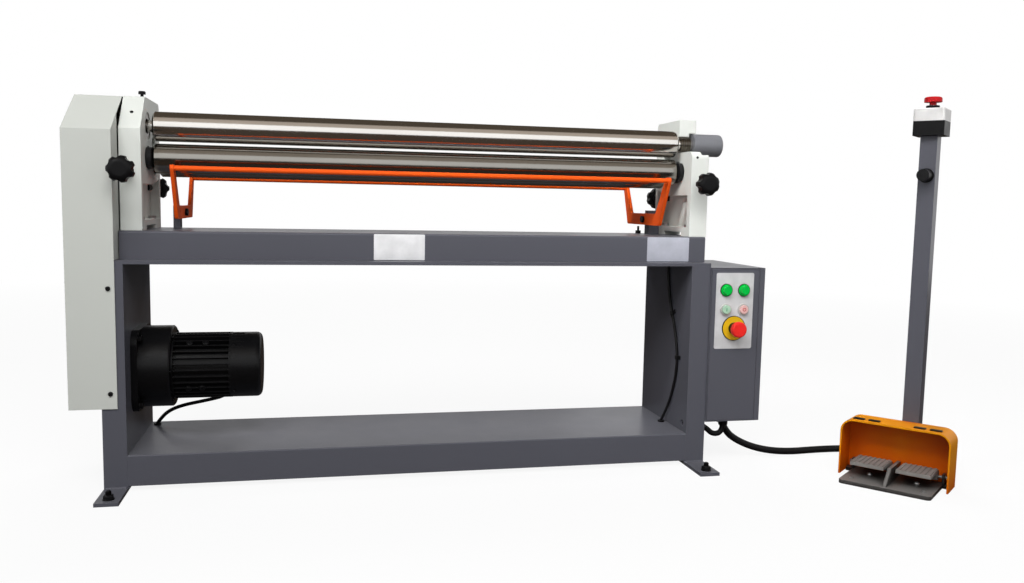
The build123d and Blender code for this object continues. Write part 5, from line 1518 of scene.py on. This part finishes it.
@dataclass
class Studio:
    """White floor, soft lamps and the cards that the polished rolls mirror."""

    middle: ClassVar[Point] = (0.05, -0.1, 0.55)
    dim: ClassVar[Colour] = (0.055, 0.041, 0.031)
    brown: ClassVar[Colour] = (0.075, 0.06, 0.045)

    floor_size: Pair = (16.0, 16.0)
    floor_drop: float = 0.2 * MM
    floor_white: float = 0.9
    floor_tone: float = 0.82
    floor_bounce: float = 0.3
    fade: Pair = (2.2, 5.5)
    ambient: float = 0.1
    lamps: tuple[Lamp, ...] = (
        Lamp("key_lamp", (-0.5, -2.9, 3.7), middle, (3.2, 1.8), 165.0),
        Lamp("fill_lamp", (-0.2, -4.4, 1.3), middle, (3.6, 1.2), 25.0),
        Lamp("left_lamp", (-2.5, -1.8, 2.2), (0.65, 0.0, 0.75), (0.8, 0.8), 3.0, 70.0),
        Lamp("end_lamp", (-2.2, -1.2, 3.2), (0.66, 0.0, 0.72), (0.5, 0.5), 1.6, 25.0),
        Lamp("right_lamp", (1.9, -2.3, 1.9), (0.75, -0.1, 0.75), (0.9, 0.9), 3.0, 75.0),
        Lamp("back_lamp", (0.3, 2.9, 4.2), (0.1, 0.1, 0.5), (3.0, 1.6), 110.0),
    )
    cards: tuple[Card, ...] = (
        Card("floor_card", (0.2, 0.0, 0.0006), UP, (14.0, 14.0), dim),
        Card("soft_card", (0.2, -4.2, 2.575), BACK, (12.0, 3.65), WHITE, 1.15),
        Card("low_card", (0.2, -4.2, 0.375), BACK, (12.0, 0.75), dim),
        Card("side_card", (4.9, 4.0, 1.2), FRONT, (3.0, 2.0), (0.10, 0.085, 0.06)),
        Card("far_card", (-0.8, 4.0, 0.475), FRONT, (4.8, 0.95), (0.008, 0.007, 0.006)),
        Card("front_card", (0.2, -2.05, 3.3), DOWN, (9.0, 2.4), (0.44, 0.385, 0.33)),
        Card("ceiling_card", (0.2, 1.6, 3.3), DOWN, (9.0, 4.9), brown),
        Card("back_card", (0.2, 4.05, 2.6), FRONT, (9.0, 1.4), brown),
        Card("glint_card", (-2.0, -2.4, 2.6), (0.65, 0.5, -0.57), (0.9, 0.9), WHITE, 9.0),
    )

    def build(self) -> None:
        """Set the view, the world, the floor, the lamps and the cards."""
        bpy.context.scene.view_settings.view_transform = "Standard"
        self.sky()
        self.floor()
        for item in (*self.lamps, *self.cards):
            item.build()

    def sky(self) -> None:
        """Light the scene evenly, and show white behind it."""
        world = bpy.data.worlds.new("studio_white")
        bpy.context.scene.world = world
        world.use_nodes = True
        board = Board(world.node_tree)
        strength = board.ramp(self.seen(board), 0.0, 1.0, self.ambient, 1.0)
        white = board.put("Background", {"Color": WHITE, "Strength": strength})
        board.put("OutputWorld", {"Surface": white.outputs["Background"]})

    @staticmethod
    def seen(board: Board) -> Socket:
        """Tell rays from the camera, a mirror or clear glass from the rest.

        Args:
            board: The board to place the nodes on.

        Returns:
            1 for those rays, and 0 for the rest.
        """
        path = board.put("LightPath").outputs
        mirrored = board.calc("MAXIMUM", path["Is Glossy Ray"], path["Is Transmission Ray"])
        return board.calc("MAXIMUM", path["Is Camera Ray"], mirrored)

    def floor(self) -> None:
        """Lay a pale floor that keeps the shadow and fades into the background."""
        material, board = new_material("pale_floor")
        seen = self.seen(board)
        tone = board.ramp(seen, 0.0, 1.0, self.floor_bounce, self.floor_tone)
        matt = board.put("BsdfDiffuse", {"Color": tone})
        white = board.put("Emission", {"Color": WHITE, "Strength": 1.0})
        spot = board.put("NewGeometry").outputs["Position"]
        away = board.put("VectorMath", {0: spot}, operation="LENGTH").outputs["Value"]
        share = board.product(seen, board.ramp(away, *self.fade, self.floor_white, 1.0))
        mixed = board.put("MixShader", {0: share, 1: matt.outputs[0], 2: white.outputs[0]})
        board.put("OutputMaterial", {"Surface": mixed.outputs[0]})
        place = Matrix.Translation((0.0, 0.0, -self.floor_drop))
        stage_sheet("pale_floor", self.floor_size, place, material)


def main() -> None:
    """Build the machine's sub-assemblies, the studio and the camera in order."""
    logging.basicConfig(level=logging.INFO, format="%(name)s: %(message)s")
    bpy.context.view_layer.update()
    assemblies = (
        PhotoCamera(),
        Cords(),
        Stand(),
        Housings(),
        DriveCover(),
        MotorDrive(),
        RollSet(),
        Knobs(),
        TripFrame(),
        Cabinet(),
        FootControl(),
        Studio(),
    )
    for assembly in assemblies:
        assembly.build()
        LOG.info("finished %s", type(assembly).__name__)


if __name__ == "__main__":
    main()
